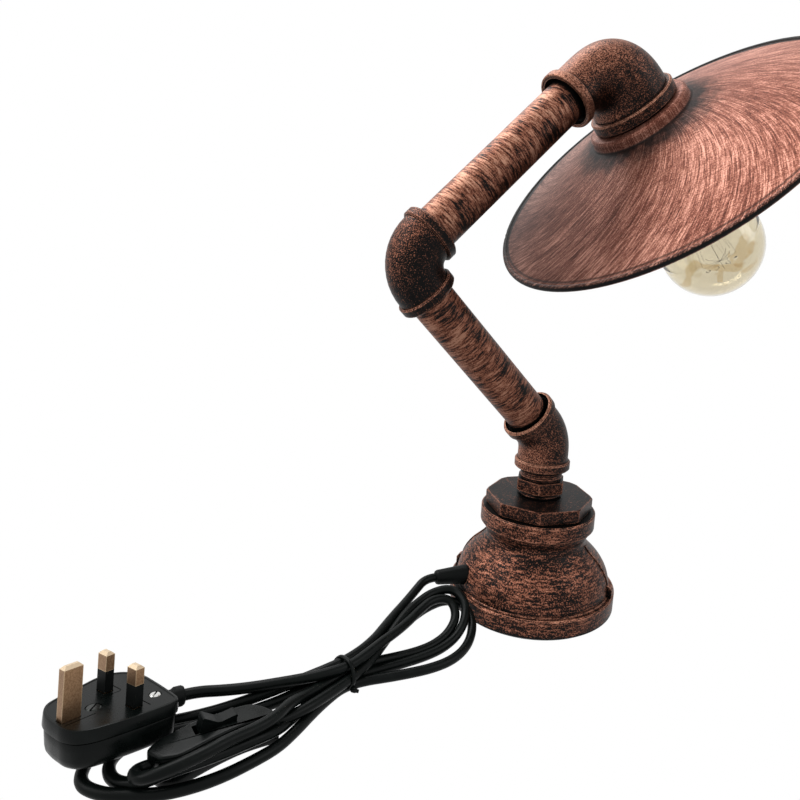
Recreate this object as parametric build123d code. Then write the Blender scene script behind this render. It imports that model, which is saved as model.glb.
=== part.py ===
from build123d import *
import os
from math import sin, cos, tan, radians, sqrt, pi, hypot

os.makedirs("parts", exist_ok=True)

# ----------------------------------------------------------------------------
# Table lamp made of malleable-iron pipe fittings and 3/4 inch pipe.
# Millimetres, +Z up.  Origin: centre of the underside of the base.
# The arm lies in the XZ plane; the shade looks towards +X and down at 45 deg.
# Pipe threads are smooth cylinders on their pitch line.
# ----------------------------------------------------------------------------

# pipe and its centre lines
PIPE_OD = 26.9
PIPE_ID = 21.7
Z_ELBOW45 = 113.9          # centre of the 45 degree elbow on the post axis
L_LOWER = 152.2            # 45 deg elbow centre to 90 deg elbow centre
L_UPPER = 183.7            # 90 deg elbow centre to top elbow centre
ENGAGE = 11.5              # pipe inside each socket
FIT = 0.06                 # radial clearance of the joints that turn

# fittings
BODY_R = 16.5
BAND_R = 18.15
BAND_W = 6.0
FACE45 = 21.9
BEND45 = 24.0
FACE90 = 26.6
BEND90 = 20.0
MOUTH_R = 16.3
MOUTH_D = 3.2
PASSAGE_R = 10.6
TOP_SMALL_FACE = 41.0
TOP_SMALL_BAND_R = 18.6
TOP_BULGE = 1.6            # extra fullness of the top elbow's back
TOP_BIG_FACE = 37.4
TOP_BAND_R = 28.3
TOP_BAND_W = 8.5
TOP_BEND = 28.0
TOP_R0, TOP_R1 = 16.6, 25.2
TOP_SOCKET_R = 20.95

# base casting, 3 inch by 2 inch reducing socket
PAD_R, PAD_T = 53.0, 1.2
BASE_BAND_R = 54.9
BASE_BAND_TOP = 13.2
NECK_R = 33.7
TOP_RING_R = 37.7
BASE_TOP = 64.75
GLAND_Z = 21.8
GLAND_AZ = 172.5           # the cord leaves to the back, a little to the far side
GLAND_END = 69.2

# shade, 10 inch spun steel
SHEET = 1.0
SHADE_COLLAR_R = 33.8
SHADE_R = 127.0
BEAD_R = 2.1

# flex, three core
FLEX_D = 5.4
FR = FLEX_D / 2

C_ = Align.CENTER
LOW = Align.MIN


def vec(*a):
    return Vector(*a)


S2 = sqrt(0.5)
UP = vec(0, 0, 1)
D1 = vec(-S2, 0, S2)       # lower pipe, upwards
D2 = vec(S2, 0, S2)        # upper pipe, upwards
D3 = vec(S2, 0, -S2)       # shade axis, outwards
C45 = vec(0, 0, Z_ELBOW45)
C90 = C45 + D1 * L_LOWER
CT = C90 + D2 * L_UPPER


def save(shape, name):
    export_step(shape, f"parts/{name}.step")
    sol = shape.solids()
    print(f"{name:28s} solids {len(sol):2d}  volume {shape.volume:10.1f}  valid {all(s.is_valid for s in sol)}")


def rev(pts):
    """Solid of revolution about Z from (r, z) points."""
    return revolve(make_face(Polyline(*[(r, 0, z) for r, z in pts], close=True)), Axis.Z)


def rev_edges(*edges):
    """Solid of revolution about Z from edges that lie in the XZ plane."""
    return revolve(make_face(Curve() + list(edges)), Axis.Z)


def rz(r, z):
    return (r, 0, z)


def cyl(r, z0, z1):
    return Pos(0, 0, z0) * Cylinder(r, z1 - z0, align=(C_, C_, LOW))


def along(origin, direction, x_dir=(0, 1, 0)):
    """Frame at origin whose Z is direction."""
    return Plane(origin=origin, x_dir=x_dir, z_dir=direction).location


def bent(c, a, b, la, lb, rb, r):
    """Round bar from c+la*a, through a bend of radius rb at c, to c+lb*b."""
    p0, p1 = c + a * la, c + b * lb
    path = FilletPolyline(p0, c, p1, radius=rb)
    return sweep(Plane(origin=p0, z_dir=a * -1) * Circle(r), path)


def leg_band(c, a, face, r=BAND_R, w=BAND_W):
    """Reinforcing band round a socket mouth, its edges eased."""
    e = 0.9
    ring = rev([(0, face - w), (r - e, face - w), (r, face - w + e), (r, face - e), (r - e, face), (0, face)])
    return along(c, a) * ring


def leg_socket(c, a, face, bore, mouth=MOUTH_R, depth=MOUTH_D):
    """Threaded socket with its countersunk mouth, as a cutter."""
    e = 0.5
    prof = rev([
        (0, face - ENGAGE), (bore, face - ENGAGE), (bore, face - depth - 1.6), (mouth - 0.6, face - depth + 0.6),
        (mouth, face - depth + 1.6), (mouth, face + e), (0, face + e)])
    return along(c, a) * prof


# ----------------------------------------------------------------------------
# base
# ----------------------------------------------------------------------------
base_pad = rev([(0, 0), (PAD_R - 0.3, 0), (PAD_R, 0.3), (PAD_R, PAD_T), (0, PAD_T)])
save(base_pad, "base_pad")

base_plate = rev([(0, PAD_T), (43.7, PAD_T), (43.7, PAD_T + 3.0), (0, PAD_T + 3.0)])
save(base_plate, "base_plate")

bell_out = [(51.2, 13.7), (50.3, 20), (48.7, 25), (45.9, 30), (41.7, 35), (36.5, 39.8), (33.4, 43.6)]
bell_in = [(28.6, 42.6), (32.2, 38.2), (37.4, 33.4), (41.6, 28.4), (44.0, 23.0), (45.6, 17.2)]
reducer = rev_edges(
    Polyline(rz(44.0, 2.0), rz(44.8, PAD_T), rz(54.3, PAD_T), rz(BASE_BAND_R, 1.8), rz(BASE_BAND_R, 12.3),
             rz(54.1, BASE_BAND_TOP), rz(51.9, BASE_BAND_TOP), rz(51.2, 13.7)),
    Spline(*[rz(*p) for p in bell_out]),
    ThreePointArc(rz(33.4, 43.6), rz(33.15, 46.6), rz(34.1, 49.6)),
    ThreePointArc(rz(34.1, 49.6), rz(35.1, 51.4), rz(35.9, 53.4)),
    Polyline(rz(35.9, 53.4), rz(36.4, 54.2), rz(TOP_RING_R - 0.5, 54.4), rz(TOP_RING_R, 54.9), rz(TOP_RING_R, 63.9),
             rz(36.9, BASE_TOP), rz(30.9, BASE_TOP), rz(29.85, 63.7), rz(29.85, 44.4), rz(28.6, 42.6)),
    Spline(*[rz(*p) for p in bell_in]),
    Polyline(rz(45.6, 17.2), rz(45.6, 15.6), rz(44.0, 14.4), rz(44.0, 2.0)),
)

# two side ribs on the parting plane, and the parting line above them
PART_AZ = 131.9
rib = Plane.XZ * make_face(Polyline((48.0, 12.9), (54.1, 12.9), (54.1, 17.6), (52.9, 19.4), (50.6, 20.6), (48.0, 20.9), close=True))
rib = extrude(rib, 2.3, both=True)
fat = rev_edges(
    Polyline(rz(30, 13.0), rz(51.9, 13.0), rz(51.9, 13.7)),
    Spline(*[rz(r + 0.7, z + 0.25) for r, z in [(51.2, 13.45)] + bell_out[1:]]),
    Polyline(rz(34.1, 43.85), rz(30, 43.85), rz(30, 13.0)),
)
fin = fat & (Pos(45, 0, 30) * Box(40, 1.7, 60))
side = rib + fin
for az in (PART_AZ, PART_AZ + 180):
    reducer = reducer + Rot(0, 0, az) * side
# cord hole with its two spot faces
G_DIR = vec(cos(radians(GLAND_AZ)), sin(radians(GLAND_AZ)), 0)
x_axis = along(vec(0, 0, GLAND_Z), G_DIR, (0, 0, 1))
reducer = reducer - x_axis * cyl(4.35, 30, 60)
reducer = reducer - x_axis * cyl(6.35, 48.2, 60)
reducer = reducer - x_axis * cyl(7.4, 30, 43.2)
# cut back anything the ribs pushed into the sockets
reducer = reducer - cyl(43.9, -1, 12)
save(reducer, "base_reducer")

oct_r = 35.2
octagon = Rot(0, 0, 12.56) * extrude(RegularPolygon(oct_r, 8), 8.3)
octagon = Pos(0, 0, 65.2) * octagon
octagon = octagon & rev([(0, 65.2), (34.2, 65.2), (35.3, 65.9), (35.3, 72.6), (34.0, 73.5), (0, 73.5)])
bush = octagon + cyl(29.8, 48.0, 65.4)
bush = bush - cyl(13.28, 58, 80) - rev([(0, 40), (24.5, 40), (24.5, 56.5), (13.2, 60), (0, 60)])
bush = bush - rev([(0, 72.2), (13.2, 72.2), (15.4, 73.6), (15.4, 75), (0, 75)])
save(bush, "octagon_bush")

hexa = Pos(0, 0, 77.2) * (Rot(0, 0, -126) * extrude(RegularPolygon(17.0, 6), 7.7))
hexa = hexa & rev([(0, 77.2), (15.9, 77.2), (17.1, 77.9), (17.1, 84.2), (15.9, 84.9), (0, 84.9)])
nipple = hexa + rev([(0, 60.8), (12.4, 60.8), (13.2, 61.8), (13.2, 102.2), (12.4, 103.1), (0, 103.1)])
nipple = nipple - cyl(9.4, 50, 110)
save(nipple, "hex_nipple")

gland = x_axis * rev([(2.82, 38.2), (3.7, 38.2), (4.3, 38.8), (4.3, 48.2), (6.0, 48.2), (6.0, 49.6), (4.55, 67.6),
                      (4.1, 68.7), (3.3, GLAND_END), (2.82, GLAND_END)])
save(gland, "cord_gland")
lock = x_axis * (Pos(0, 0, 40.0) * extrude(RegularPolygon(6.9, 6), 3.1))
lock = lock - x_axis * cyl(4.33, 30, 60)
save(lock, "gland_locknut")

G_EXIT = G_DIR * GLAND_END + UP * GLAND_Z      # where the flex leaves the gland
flex_base = sweep(Plane(origin=G_EXIT, z_dir=G_DIR * -1) * Circle(FR),
                  FilletPolyline(G_EXIT, vec(0, 0, GLAND_Z), vec(0, 0, 91.9), radius=26))
save(flex_base, "flex_in_base")

# ----------------------------------------------------------------------------
# lower arm: 45 degree elbow and lower pipe
# ----------------------------------------------------------------------------
DOWN = vec(0, 0, -1)
elbow_45 = bent(C45, DOWN, D1, FACE45, FACE45, BEND45, BODY_R)
elbow_45 = elbow_45 + leg_band(C45, DOWN, FACE45) + leg_band(C45, D1, FACE45)
elbow_45 = elbow_45 - bent(C45, DOWN, D1, FACE45 - 2, FACE45 - 2, BEND45, PASSAGE_R)
elbow_45 = elbow_45 - leg_socket(C45, DOWN, FACE45, 13.2 + FIT) - leg_socket(C45, D1, FACE45, PIPE_OD / 2 + 0.02)
save(elbow_45, "elbow_45")


def pipe(c, d, s0, s1):
    e = 0.8
    p = rev([(PIPE_ID / 2, s0 + 0.4), (PIPE_ID / 2 + 0.5, s0), (PIPE_OD / 2 - e, s0), (PIPE_OD / 2, s0 + e),
             (PIPE_OD / 2, s1 - e), (PIPE_OD / 2 - e, s1), (PIPE_ID / 2 + 0.5, s1), (PIPE_ID / 2, s1 - 0.4)])
    return along(c, d) * p


lower_pipe = pipe(C45, D1, FACE45 - ENGAGE + 0.1, L_LOWER - FACE90 + ENGAGE - 0.1)
save(lower_pipe, "lower_pipe")

SPLIT1 = L_LOWER - 23.0      # flex split on the axis of the elbow swivel
flex_lower = sweep(Plane(origin=(0, 0, 92.0), z_dir=(0, 0, 1)) * Circle(FR),
                   FilletPolyline(vec(0, 0, 92.0), C45, C45 + D1 * SPLIT1, radius=40))
save(flex_lower, "flex_in_lower_pipe")

# ----------------------------------------------------------------------------
# upper arm: 90 degree elbow and upper pipe
# ----------------------------------------------------------------------------
A90 = D1 * -1
elbow_90 = bent(C90, A90, D2, FACE90, FACE90, BEND90, BODY_R)
elbow_90 = elbow_90 + leg_band(C90, A90, FACE90) + leg_band(C90, D2, FACE90)
elbow_90 = elbow_90 - bent(C90, A90, D2, FACE90 - 2, FACE90 - 2, BEND90, PASSAGE_R)
elbow_90 = elbow_90 - leg_socket(C90, A90, FACE90, PIPE_OD / 2 + FIT) - leg_socket(C90, D2, FACE90, PIPE_OD / 2 + 0.02)
save(elbow_90, "elbow_90")

upper_pipe = pipe(C90, D2, FACE90 - ENGAGE + 0.1, L_UPPER - TOP_SMALL_FACE + ENGAGE - 0.1)
save(upper_pipe, "upper_pipe")

SPLIT2 = L_UPPER - TOP_SMALL_FACE   # flex split on the axis of the head swivel
flex_upper = sweep(Plane(origin=C90 - D1 * 22.9, z_dir=D1) * Circle(FR),
                   FilletPolyline(C90 - D1 * 22.9, C90, C90 + D2 * (SPLIT2 - 0.1), radius=20))
save(flex_upper, "flex_in_upper_pipe")

# ----------------------------------------------------------------------------
# head: reducing elbow, mouth plate, shade, lampholder
# ----------------------------------------------------------------------------
AT = D2 * -1


def arc_point(c, a, b, rb, ang):
    """Point and heading on the bend from leg a to leg b (square bend)."""
    cen = c + a * rb + b * rb
    t = radians(ang)
    p = cen - b * (rb * cos(t)) - a * (rb * sin(t))
    h = b * sin(t) - a * cos(t)
    return p, h


def growing_bend(c, a, b, rb, r0, r1, steps=6, bulge=0.0):
    sections = []
    for i in range(steps + 1):
        u = i / steps
        p, h = arc_point(c, a, b, rb, 90 * u)
        k = u * u * (3 - 2 * u)
        e = bulge * sin(pi * u) ** 2
        out = b * (-cos(pi / 2 * u)) - a * sin(pi / 2 * u)
        sections.append(Plane(origin=p + out * e, x_dir=(0, 1, 0), z_dir=h) * Circle(r0 + (r1 - r0) * k + e))
    return loft(sections)


head_frame = along(CT, D3)
small_frame = along(CT, AT)
top = growing_bend(CT, AT, D3, TOP_BEND, TOP_R0, TOP_R1, bulge=TOP_BULGE)
top = top + small_frame * cyl(TOP_R0, TOP_BEND, TOP_SMALL_FACE - 0.5) + head_frame * cyl(TOP_R1, TOP_BEND, TOP_BIG_FACE - 0.5)
top = top + leg_band(CT, AT, TOP_SMALL_FACE, TOP_SMALL_BAND_R)
top = top + head_frame * rev([(0, TOP_BIG_FACE - TOP_BAND_W), (TOP_BAND_R - 0.9, TOP_BIG_FACE - TOP_BAND_W),
                              (TOP_BAND_R, TOP_BIG_FACE - TOP_BAND_W + 0.9), (TOP_BAND_R, TOP_BIG_FACE - 1.5),
                              (TOP_BAND_R - 1.5, TOP_BIG_FACE), (0, TOP_BIG_FACE)])
cavity = growing_bend(CT, AT, D3, TOP_BEND, 10.4, 19.2)
cavity = cavity + small_frame * cyl(11.0, TOP_BEND - 2.0, TOP_BEND + 2) + head_frame * cyl(18.4, TOP_BEND - 1.5, TOP_BEND + 2)
top = top - cavity
top = top - leg_socket(CT, AT, TOP_SMALL_FACE, PIPE_OD / 2 + FIT)
top = top - head_frame * cyl(TOP_SOCKET_R, 29.3, TOP_BIG_FACE + 1)
save(top, "top_elbow")

mouth_plate = head_frame * rev([(5.1, 29.4), (20.2, 29.4), (20.9, 30.1), (20.9, TOP_BIG_FACE), (5.1, TOP_BIG_FACE)])
save(mouth_plate, "mouth_plate")

holder_nipple = head_frame * rev([(3.9, 24.0), (4.6, 24.0), (5.0, 24.4), (5.0, 46.6), (4.6, 47.0), (3.9, 47.0)])
save(holder_nipple, "holder_nipple")

nut = Pos(0, 0, 25.9) * extrude(RegularPolygon(8.1, 6), 3.5)
nut = head_frame * ((nut & rev([(0, 25.9), (7.3, 25.9), (8.1, 26.6), (8.1, 29.4), (0, 29.4)])) - cyl(5.02, 20, 40))
save(nut, "nipple_nut")

# shade: sheet with a collar and a rolled bead
dr, ds = 123.5 - 35.8, 73.65 - 44.82
dl = hypot(dr, ds)
nr, ns = -ds / dl * SHEET, dr / dl * SHEET
shade_face = make_face(Curve() + [
    Polyline(rz(5.1, TOP_BIG_FACE + SHEET), rz(5.1, TOP_BIG_FACE), rz(31.3, TOP_BIG_FACE)),
    ThreePointArc(rz(31.3, TOP_BIG_FACE), rz(33.07, 38.13), rz(SHADE_COLLAR_R, 39.9)),
    Line(rz(SHADE_COLLAR_R, 39.9), rz(SHADE_COLLAR_R, 42.82)),
    ThreePointArc(rz(SHADE_COLLAR_R, 42.82), rz(34.4, 44.17), rz(35.8, 44.82)),
    Line(rz(35.8, 44.82), rz(123.5, 73.65)),
    Line(rz(123.5, 73.65), rz(123.5 + nr, 73.65 + ns)),
    Line(rz(123.5 + nr, 73.65 + ns), rz(35.8 + nr, 44.82 + ns)),
    ThreePointArc(rz(35.8 + nr, 44.82 + ns), rz(33.6, 44.82), rz(SHADE_COLLAR_R - SHEET, 43.02)),
    Line(rz(SHADE_COLLAR_R - SHEET, 43.02), rz(SHADE_COLLAR_R - SHEET, 39.9)),
    ThreePointArc(rz(SHADE_COLLAR_R - SHEET, 39.9), rz(32.36, 38.84), rz(31.3, TOP_BIG_FACE + SHEET)),
    Line(rz(31.3, TOP_BIG_FACE + SHEET), rz(5.1, TOP_BIG_FACE + SHEET)),
])
shade = revolve(shade_face, Axis.Z)
shade = shade + Pos(0, 0, 75.0) * Torus(SHADE_R - BEAD_R, BEAD_R)
shade = head_frame * shade
save(shade, "shade")

HS = TOP_BIG_FACE + SHEET    # face that the lampholder is clamped to
holder_cap = head_frame * rev([
    (5.05, HS), (8.6, HS), (9.4, HS + 0.8), (9.4, 42.4), (13.5, 43.6), (17.2, 46.0), (19.2, 49.4), (19.5, 52.0),
    (19.5, 54.0), (17.7, 54.0), (17.7, 52.0), (17.4, 50.0), (15.7, 47.1), (12.9, 45.4), (8.4, 44.4), (8.4, 47.0),
    (5.05, 47.0)])
save(holder_cap, "lampholder_cap")
holder_skirt = head_frame * rev([(17.6, 54.0), (19.5, 54.0), (19.5, 84.6), (20.1, 85.4), (20.1, 86.4), (19.5, 87.0),
                                 (17.6, 87.0)])
save(holder_skirt, "lampholder_skirt")
block = head_frame * rev([(0, 56.0), (17.0, 56.0), (17.5, 56.5), (17.5, 64.0), (0, 64.0)])
block = block - head_frame * (Pos(8, 0, 55.9) * Cylinder(1.3, 3.2, align=(C_, C_, LOW)))
block = block - head_frame * (Rot(0, 0, 120) * (Pos(8, 0, 55.9) * Cylinder(1.3, 3.2, align=(C_, C_, LOW))))
block = block - head_frame * (Rot(0, 0, 240) * (Pos(8, 0, 55.9) * Cylinder(1.3, 3.2, align=(C_, C_, LOW))))
screws = None
for k in range(3):
    a = Rot(0, 0, 120 * k + 30)
    s = a * (Pos(12.4, 0, 54.6) * (rev([(0, 0), (2.0, 0), (2.3, 0.3), (2.3, 1.4), (1.4, 1.4), (1.4, 6.0), (0, 6.0)])))
    s = s - a * (Pos(12.4, 0, 54.4) * Box(5, 0.6, 1.4))
    s = head_frame * s
    block = block - head_frame * (a * (Pos(12.4, 0, 55.5) * Cylinder(1.42, 6, align=(C_, C_, LOW))))
    screws = s if screws is None else screws + s
save(block, "lampholder_terminal_block")
save(screws, "terminal_screws")
shell = head_frame * rev([(13.3, 64.0), (14.3, 64.0), (14.3, 79.4), (14.9, 80.0), (13.3, 80.0)])
save(shell, "lampholder_screw_shell")
spring = head_frame * rev([(0, 64.0), (3.6, 64.0), (3.6, 64.4), (2.2, 64.9), (0, 64.9)])
save(spring, "lampholder_centre_contact")

flex_head = sweep(Plane(origin=CT + AT * TOP_SMALL_FACE, z_dir=D2) * Circle(FR),
                  FilletPolyline(CT + AT * TOP_SMALL_FACE, CT, CT + D3 * 20, radius=18))
save(flex_head, "flex_in_head")

CORE_R = 1.1
for name, az in (("core_live", 0), ("core_neutral", 120), ("core_earth", 240)):
    pth = FilletPolyline((1.32, 0, 20.1), (1.32, 0, 48.6), (8.0, 0, 53.6), (8.0, 0, 59.0), radius=[2.4, 2.0])
    core = sweep(Plane(origin=(1.32, 0, 20.1), z_dir=(0, 0, 1)) * Circle(CORE_R), pth)
    save(head_frame * (Rot(0, 0, az) * core), name)

# ----------------------------------------------------------------------------
# bulb, E27 globe
# ----------------------------------------------------------------------------
glass_out = [(12.7, 84.0), (12.75, 92.0), (13.6, 96.5), (16.4, 104.5), (21.4, 114.0), (27.6, 124.5), (33.2, 136.0),
             (36.1, 147.0), (36.5, 152.5)]
GT = 0.8
glass_in = [(12.7 - GT, 84.0), (12.75 - GT, 92.2), (13.6 - GT, 96.9), (16.4 - GT + .05, 105.0), (21.4 - GT + .1, 114.6),
            (27.6 - GT + .1, 125.0), (33.2 - GT + .05, 136.3), (36.1 - GT, 147.2), (36.5 - GT, 152.5)]
gc, gr = 152.5, 36.5
bulb_glass = rev_edges(
    Spline(*[rz(*p) for p in glass_out], tangents=[(0, 0, 1), (0, 0, 1)]),
    ThreePointArc(rz(gr, gc), rz(gr * S2, gc + gr * S2), rz(0, gc + gr)),
    Line(rz(0, gc + gr), rz(0, gc + gr - GT)),
    ThreePointArc(rz(0, gc + gr - GT), rz((gr - GT) * S2, gc + (gr - GT) * S2), rz(gr - GT, gc)),
    Spline(*[rz(*p) for p in reversed(glass_in)], tangents=[(0, 0, -1), (0, 0, -1)]),
    Line(rz(glass_in[0][0], 84.0), rz(12.7, 84.0)),
)
save(head_frame * bulb_glass, "bulb_glass")
bulb_cap = rev([(12.0, 71.0), (12.6, 70.6), (13.25, 71.6), (13.25, 91.4), (13.9, 92.2), (13.9, 92.9), (13.45, 93.0),
                (12.95, 92.0), (12.95, 72.0), (12.0, 72.0)])
save(head_frame * bulb_cap, "bulb_cap")
bulb_insulator = rev([(0, 66.6), (4.7, 66.6), (11.9, 71.0), (11.9, 73.0), (0, 73.0)])
save(head_frame * bulb_insulator, "bulb_cap_insulator")
bulb_contact = rev([(0, 65.1), (3.2, 65.1), (4.5, 65.9), (4.5, 66.6), (0, 66.6)])
save(head_frame * bulb_contact, "bulb_contact")
bulb_stem = rev([(0, 85.0), (11.0, 85.0), (11.7, 86.0), (11.7, 87.0), (9.5, 88.4), (6.0, 92.5), (4.4, 99.0), (3.9, 112.0),
                 (4.3, 117.5), (3.0, 119.4), (1.9, 120.2), (1.6, 138.0), (2.2, 139.6), (1.2, 141.0), (0, 141.2)])
save(head_frame * bulb_stem, "bulb_stem")

# cage filament: zigzag between a small ring of hooks near the stem and a wider one
N_FIL = 7
R_IN, S_IN, R_OUT, S_OUT = 8.5, 121.0, 19.5, 163.0
fil_pts = []
for i in range(N_FIL):
    a0 = radians(360 / N_FIL * i)
    a1 = radians(360 / N_FIL * (i + 0.5))
    fil_pts.append((R_IN * cos(a0), R_IN * sin(a0), S_IN))
    if i < N_FIL - 1:
        fil_pts.append((R_OUT * cos(a1), R_OUT * sin(a1), S_OUT))
WIRE = 0.28
filament = None
for p, q in zip(fil_pts[:-1], fil_pts[1:]):
    v = vec(*q) - vec(*p)
    seg = Plane(origin=p, z_dir=v).location * Cylinder(WIRE, v.length, align=(C_, C_, LOW))
    filament = seg if filament is None else filament + seg
    filament = filament + Pos(*q) * Sphere(WIRE)
save(head_frame * filament, "bulb_filament")
wires = None
for i in range(N_FIL):
    a0 = radians(360 / N_FIL * i)
    p, q = vec(3.6 * cos(a0), 3.6 * sin(a0), 117.0), vec((R_IN - 0.55) * cos(a0), (R_IN - 0.55) * sin(a0), S_IN - 0.2)
    w = Plane(origin=p, z_dir=q - p).location * Cylinder(0.22, (q - p).length, align=(C_, C_, LOW))
    wires = w if wires is None else wires + w
for i in range(N_FIL - 1):
    a1 = radians(360 / N_FIL * (i + 0.5))
    p, q = vec(1.4 * cos(a1), 1.4 * sin(a1), 140.2), vec((R_OUT - 0.6) * cos(a1), (R_OUT - 0.6) * sin(a1), S_OUT - 0.5)
    w = Plane(origin=p, z_dir=q - p).location * Cylinder(0.22, (q - p).length, align=(C_, C_, LOW))
    wires = wires + w
wires = wires - rev([(0, 84), (4.4, 84), (3.9, 112), (4.3, 117.5), (3.0, 119.4), (1.9, 120.2), (1.6, 138), (2.2, 139.6),
                     (1.2, 141.0), (0, 141.2)])
save(head_frame * wires, "filament_supports")

# ----------------------------------------------------------------------------
# plug, three flat pins, lying on its back with the pins up
# Local frame: face that the pins leave at z = 0, pins along +z, cord exit +x.
# ----------------------------------------------------------------------------
PLUG_O = vec(-251.3, -46.7, 25.7)
YAW, PITCH, ROLL = radians(29.0), radians(7.3), radians(-5.7)


def rotz(v, a):
    return vec(v[0] * cos(a) - v[1] * sin(a), v[0] * sin(a) + v[1] * cos(a), v[2])


px = rotz((cos(PITCH), 0, -sin(PITCH)), YAW)
pz = rotz((sin(PITCH) * cos(ROLL), -sin(ROLL), cos(PITCH) * cos(ROLL)), YAW)
plug_frame = Plane(origin=PLUG_O, x_dir=px, z_dir=pz).location

full = [(-27.3, -5.9), (-26.9, 4.5), (-25.6, 11.6), (-21.0, 18.3), (-14.1, 20.4), (-2.4, 23.1), (4.8, 24.7), (12.0, 23.5),
        (16.2, 19.7), (19.0, 13.6), (19.6, 8.5), (18.5, -3.2), (17.4, -11.5), (15.2, -22.3), (-0.9, -20.3), (-11.7, -18.1),
        (-19.5, -15.7), (-24.6, -12.2)]


def outline(off=0.0, z=0.0):
    f = make_face(Polyline(*[(x, y, 0) for x, y in full], close=True))
    f = fillet(f.vertices(), 2.4)
    if off:
        f = offset(f, amount=-off)
    return Pos(0, 0, z) * f


FACE_T = 6.0
BACK_T = 17.8
base_shell = extrude(outline(0, -FACE_T), FACE_T)
base_shell = fillet(base_shell.edges().group_by(Axis.Z)[-1], 1.3)
base_shell = base_shell - extrude(outline(2.0, -FACE_T - 1), FACE_T - 1.4)
cover = extrude(outline(0.8, -BACK_T), BACK_T - FACE_T)
cover = fillet(cover.edges().group_by(Axis.Z)[0], 1.4)
cover = cover - extrude(outline(2.8, -BACK_T + 2.2), BACK_T)

EX, LNX, LNY = -21.4, 0.8, 11.1
earth = Pos(EX, 0, -5.9) * Box(8, 4, 5.9 + 22.7, align=(C_, C_, LOW))
earth = chamfer(earth.edges().group_by(Axis.Z)[-1], 1.3)
base_shell = base_shell - Pos(EX, 0, -5) * Box(8.04, 4.04, 10)
live_neutral, sleeves = None, None
for y in (-LNY, LNY):
    tip = Pos(LNX, y, 9.5) * Box(4, 6.35, 17.7 - 9.5, align=(C_, C_, LOW))
    tip = chamfer(tip.edges().group_by(Axis.Z)[-1], 1.2)
    core = Pos(LNX, y, -8.3) * Box(3.2, 5.5, 8.3 + 9.5, align=(C_, C_, LOW))
    pin = tip + core
    sl = Pos(LNX, y, 0.0) * Box(4, 6.35, 9.5, align=(C_, C_, LOW)) - Pos(LNX, y, -1) * Box(3.22, 5.52, 12, align=(C_, C_, LOW))
    live_neutral = pin if live_neutral is None else live_neutral + pin
    sleeves = sl if sleeves is None else sleeves + sl
    base_shell = base_shell - Pos(LNX, y, -5) * Box(3.22, 5.52, 12)

plug_screws = None
for sx, sy, sr in ((-10.3, 0.8, 3.1), (12.0, -9.5, 2.4)):
    head = rev([(0, -8.0), (1.3, -8.0), (1.3, -1.9), (sr, -1.9), (sr, -0.5), (sr - 0.4, -0.1), (0, -0.1)])
    head = head - Pos(0, 0, -0.4) * (Rot(0, 0, 35) * Box(2 * sr + 1, 0.8, 1.4))
    head = Pos(sx, sy, 0) * head
    base_shell = base_shell - Pos(sx, sy, -1.9) * Cylinder(sr + 0.15, 4, align=(C_, C_, LOW))
    base_shell = base_shell - Pos(sx, sy, -9) * Cylinder(1.32, 12, align=(C_, C_, LOW))
    plug_screws = head if plug_screws is None else plug_screws + head

# cord exit through both shells, and the sleeve that holds the cord
GRIP_A, GRIP_L = radians(20.0), 15.5          # the sleeve leaves 20 deg off the plug's axis
gx = Plane(origin=(16.0, 0, -9.2), x_dir=(0, 0, 1), z_dir=(cos(GRIP_A), -sin(GRIP_A), 0)).location
exit_hole = gx * cyl(4.65, -5, 12)
base_shell = base_shell - exit_hole
cover = cover - exit_hole
grip = gx * rev([(2.74, -1.8), (5.6, -1.8), (5.6, -0.2), (4.6, 0.0), (4.6, 4.4), (4.1, 5.2), (3.9, 6.0), (3.9, 9.6), (4.3, 10.3),
                 (4.7, 11.0), (4.7, 14.1), (4.2, 15.1), (3.3, GRIP_L), (2.74, GRIP_L)])
base_shell = base_shell - gx * cyl(5.65, -1.9, 0.03)
cover = cover - gx * cyl(5.65, -1.9, 0.03)
fuse = Plane(origin=(0, 0, 0), x_dir=(0, 1, 0), z_dir=(1, 0, 0)).location * (Pos(-LNY, -11.6, -13.0) * Cylinder(3.1, 25.4, align=(C_, C_, LOW)))
clips = None
for cx in (-9.8, 9.6):
    c = Pos(cx, -LNY, -12.9) * Box(4.2, 7.6, 4.8)
    c = c - Plane(origin=(0, 0, 0), x_dir=(0, 1, 0), z_dir=(1, 0, 0)).location * (Pos(-LNY, -11.6, -20) * Cylinder(3.12, 45, align=(C_, C_, LOW)))
    c = c - Pos(cx, -LNY, -9.0) * Box(6, 5.0, 5.0)
    clips = c if clips is None else clips + c
for shp, name in ((base_shell, "plug_base"), (cover, "plug_cover"), (earth, "plug_pin_earth"),
                  (live_neutral, "plug_pins_live_neutral"), (sleeves, "plug_pin_sleeves"), (plug_screws, "plug_screws"),
                  (grip, "plug_strain_relief"), (fuse, "plug_fuse"), (clips, "plug_fuse_clips")):
    save(plug_frame * shp, name)

# ----------------------------------------------------------------------------
# switch in the cord.  Local frame: centre of its underside, x along the cord.
# ----------------------------------------------------------------------------
SW_O = vec(-212.3, -68.0, 0.0)
SW_YAW = radians(9.0)
sw_frame = Plane(origin=SW_O, x_dir=rotz((1, 0, 0), SW_YAW), z_dir=(0, 0, 1)).location
SW_H, SW_SPLIT = 15.2, 7.0
sw_full = [(-29.1, 0.9), (-24.5, 4.2), (-16.9, 6.3), (-8.6, 8.2), (2.0, 8.2), (12.7, 7.9), (17.5, 6.5), (21.8, 2.2),
           (26.3, -7.2), (11.1, -5.5), (-2.4, -6.8), (-14.7, -9.3), (-19.5, -9.6), (-25.1, -7.2)]


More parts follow.
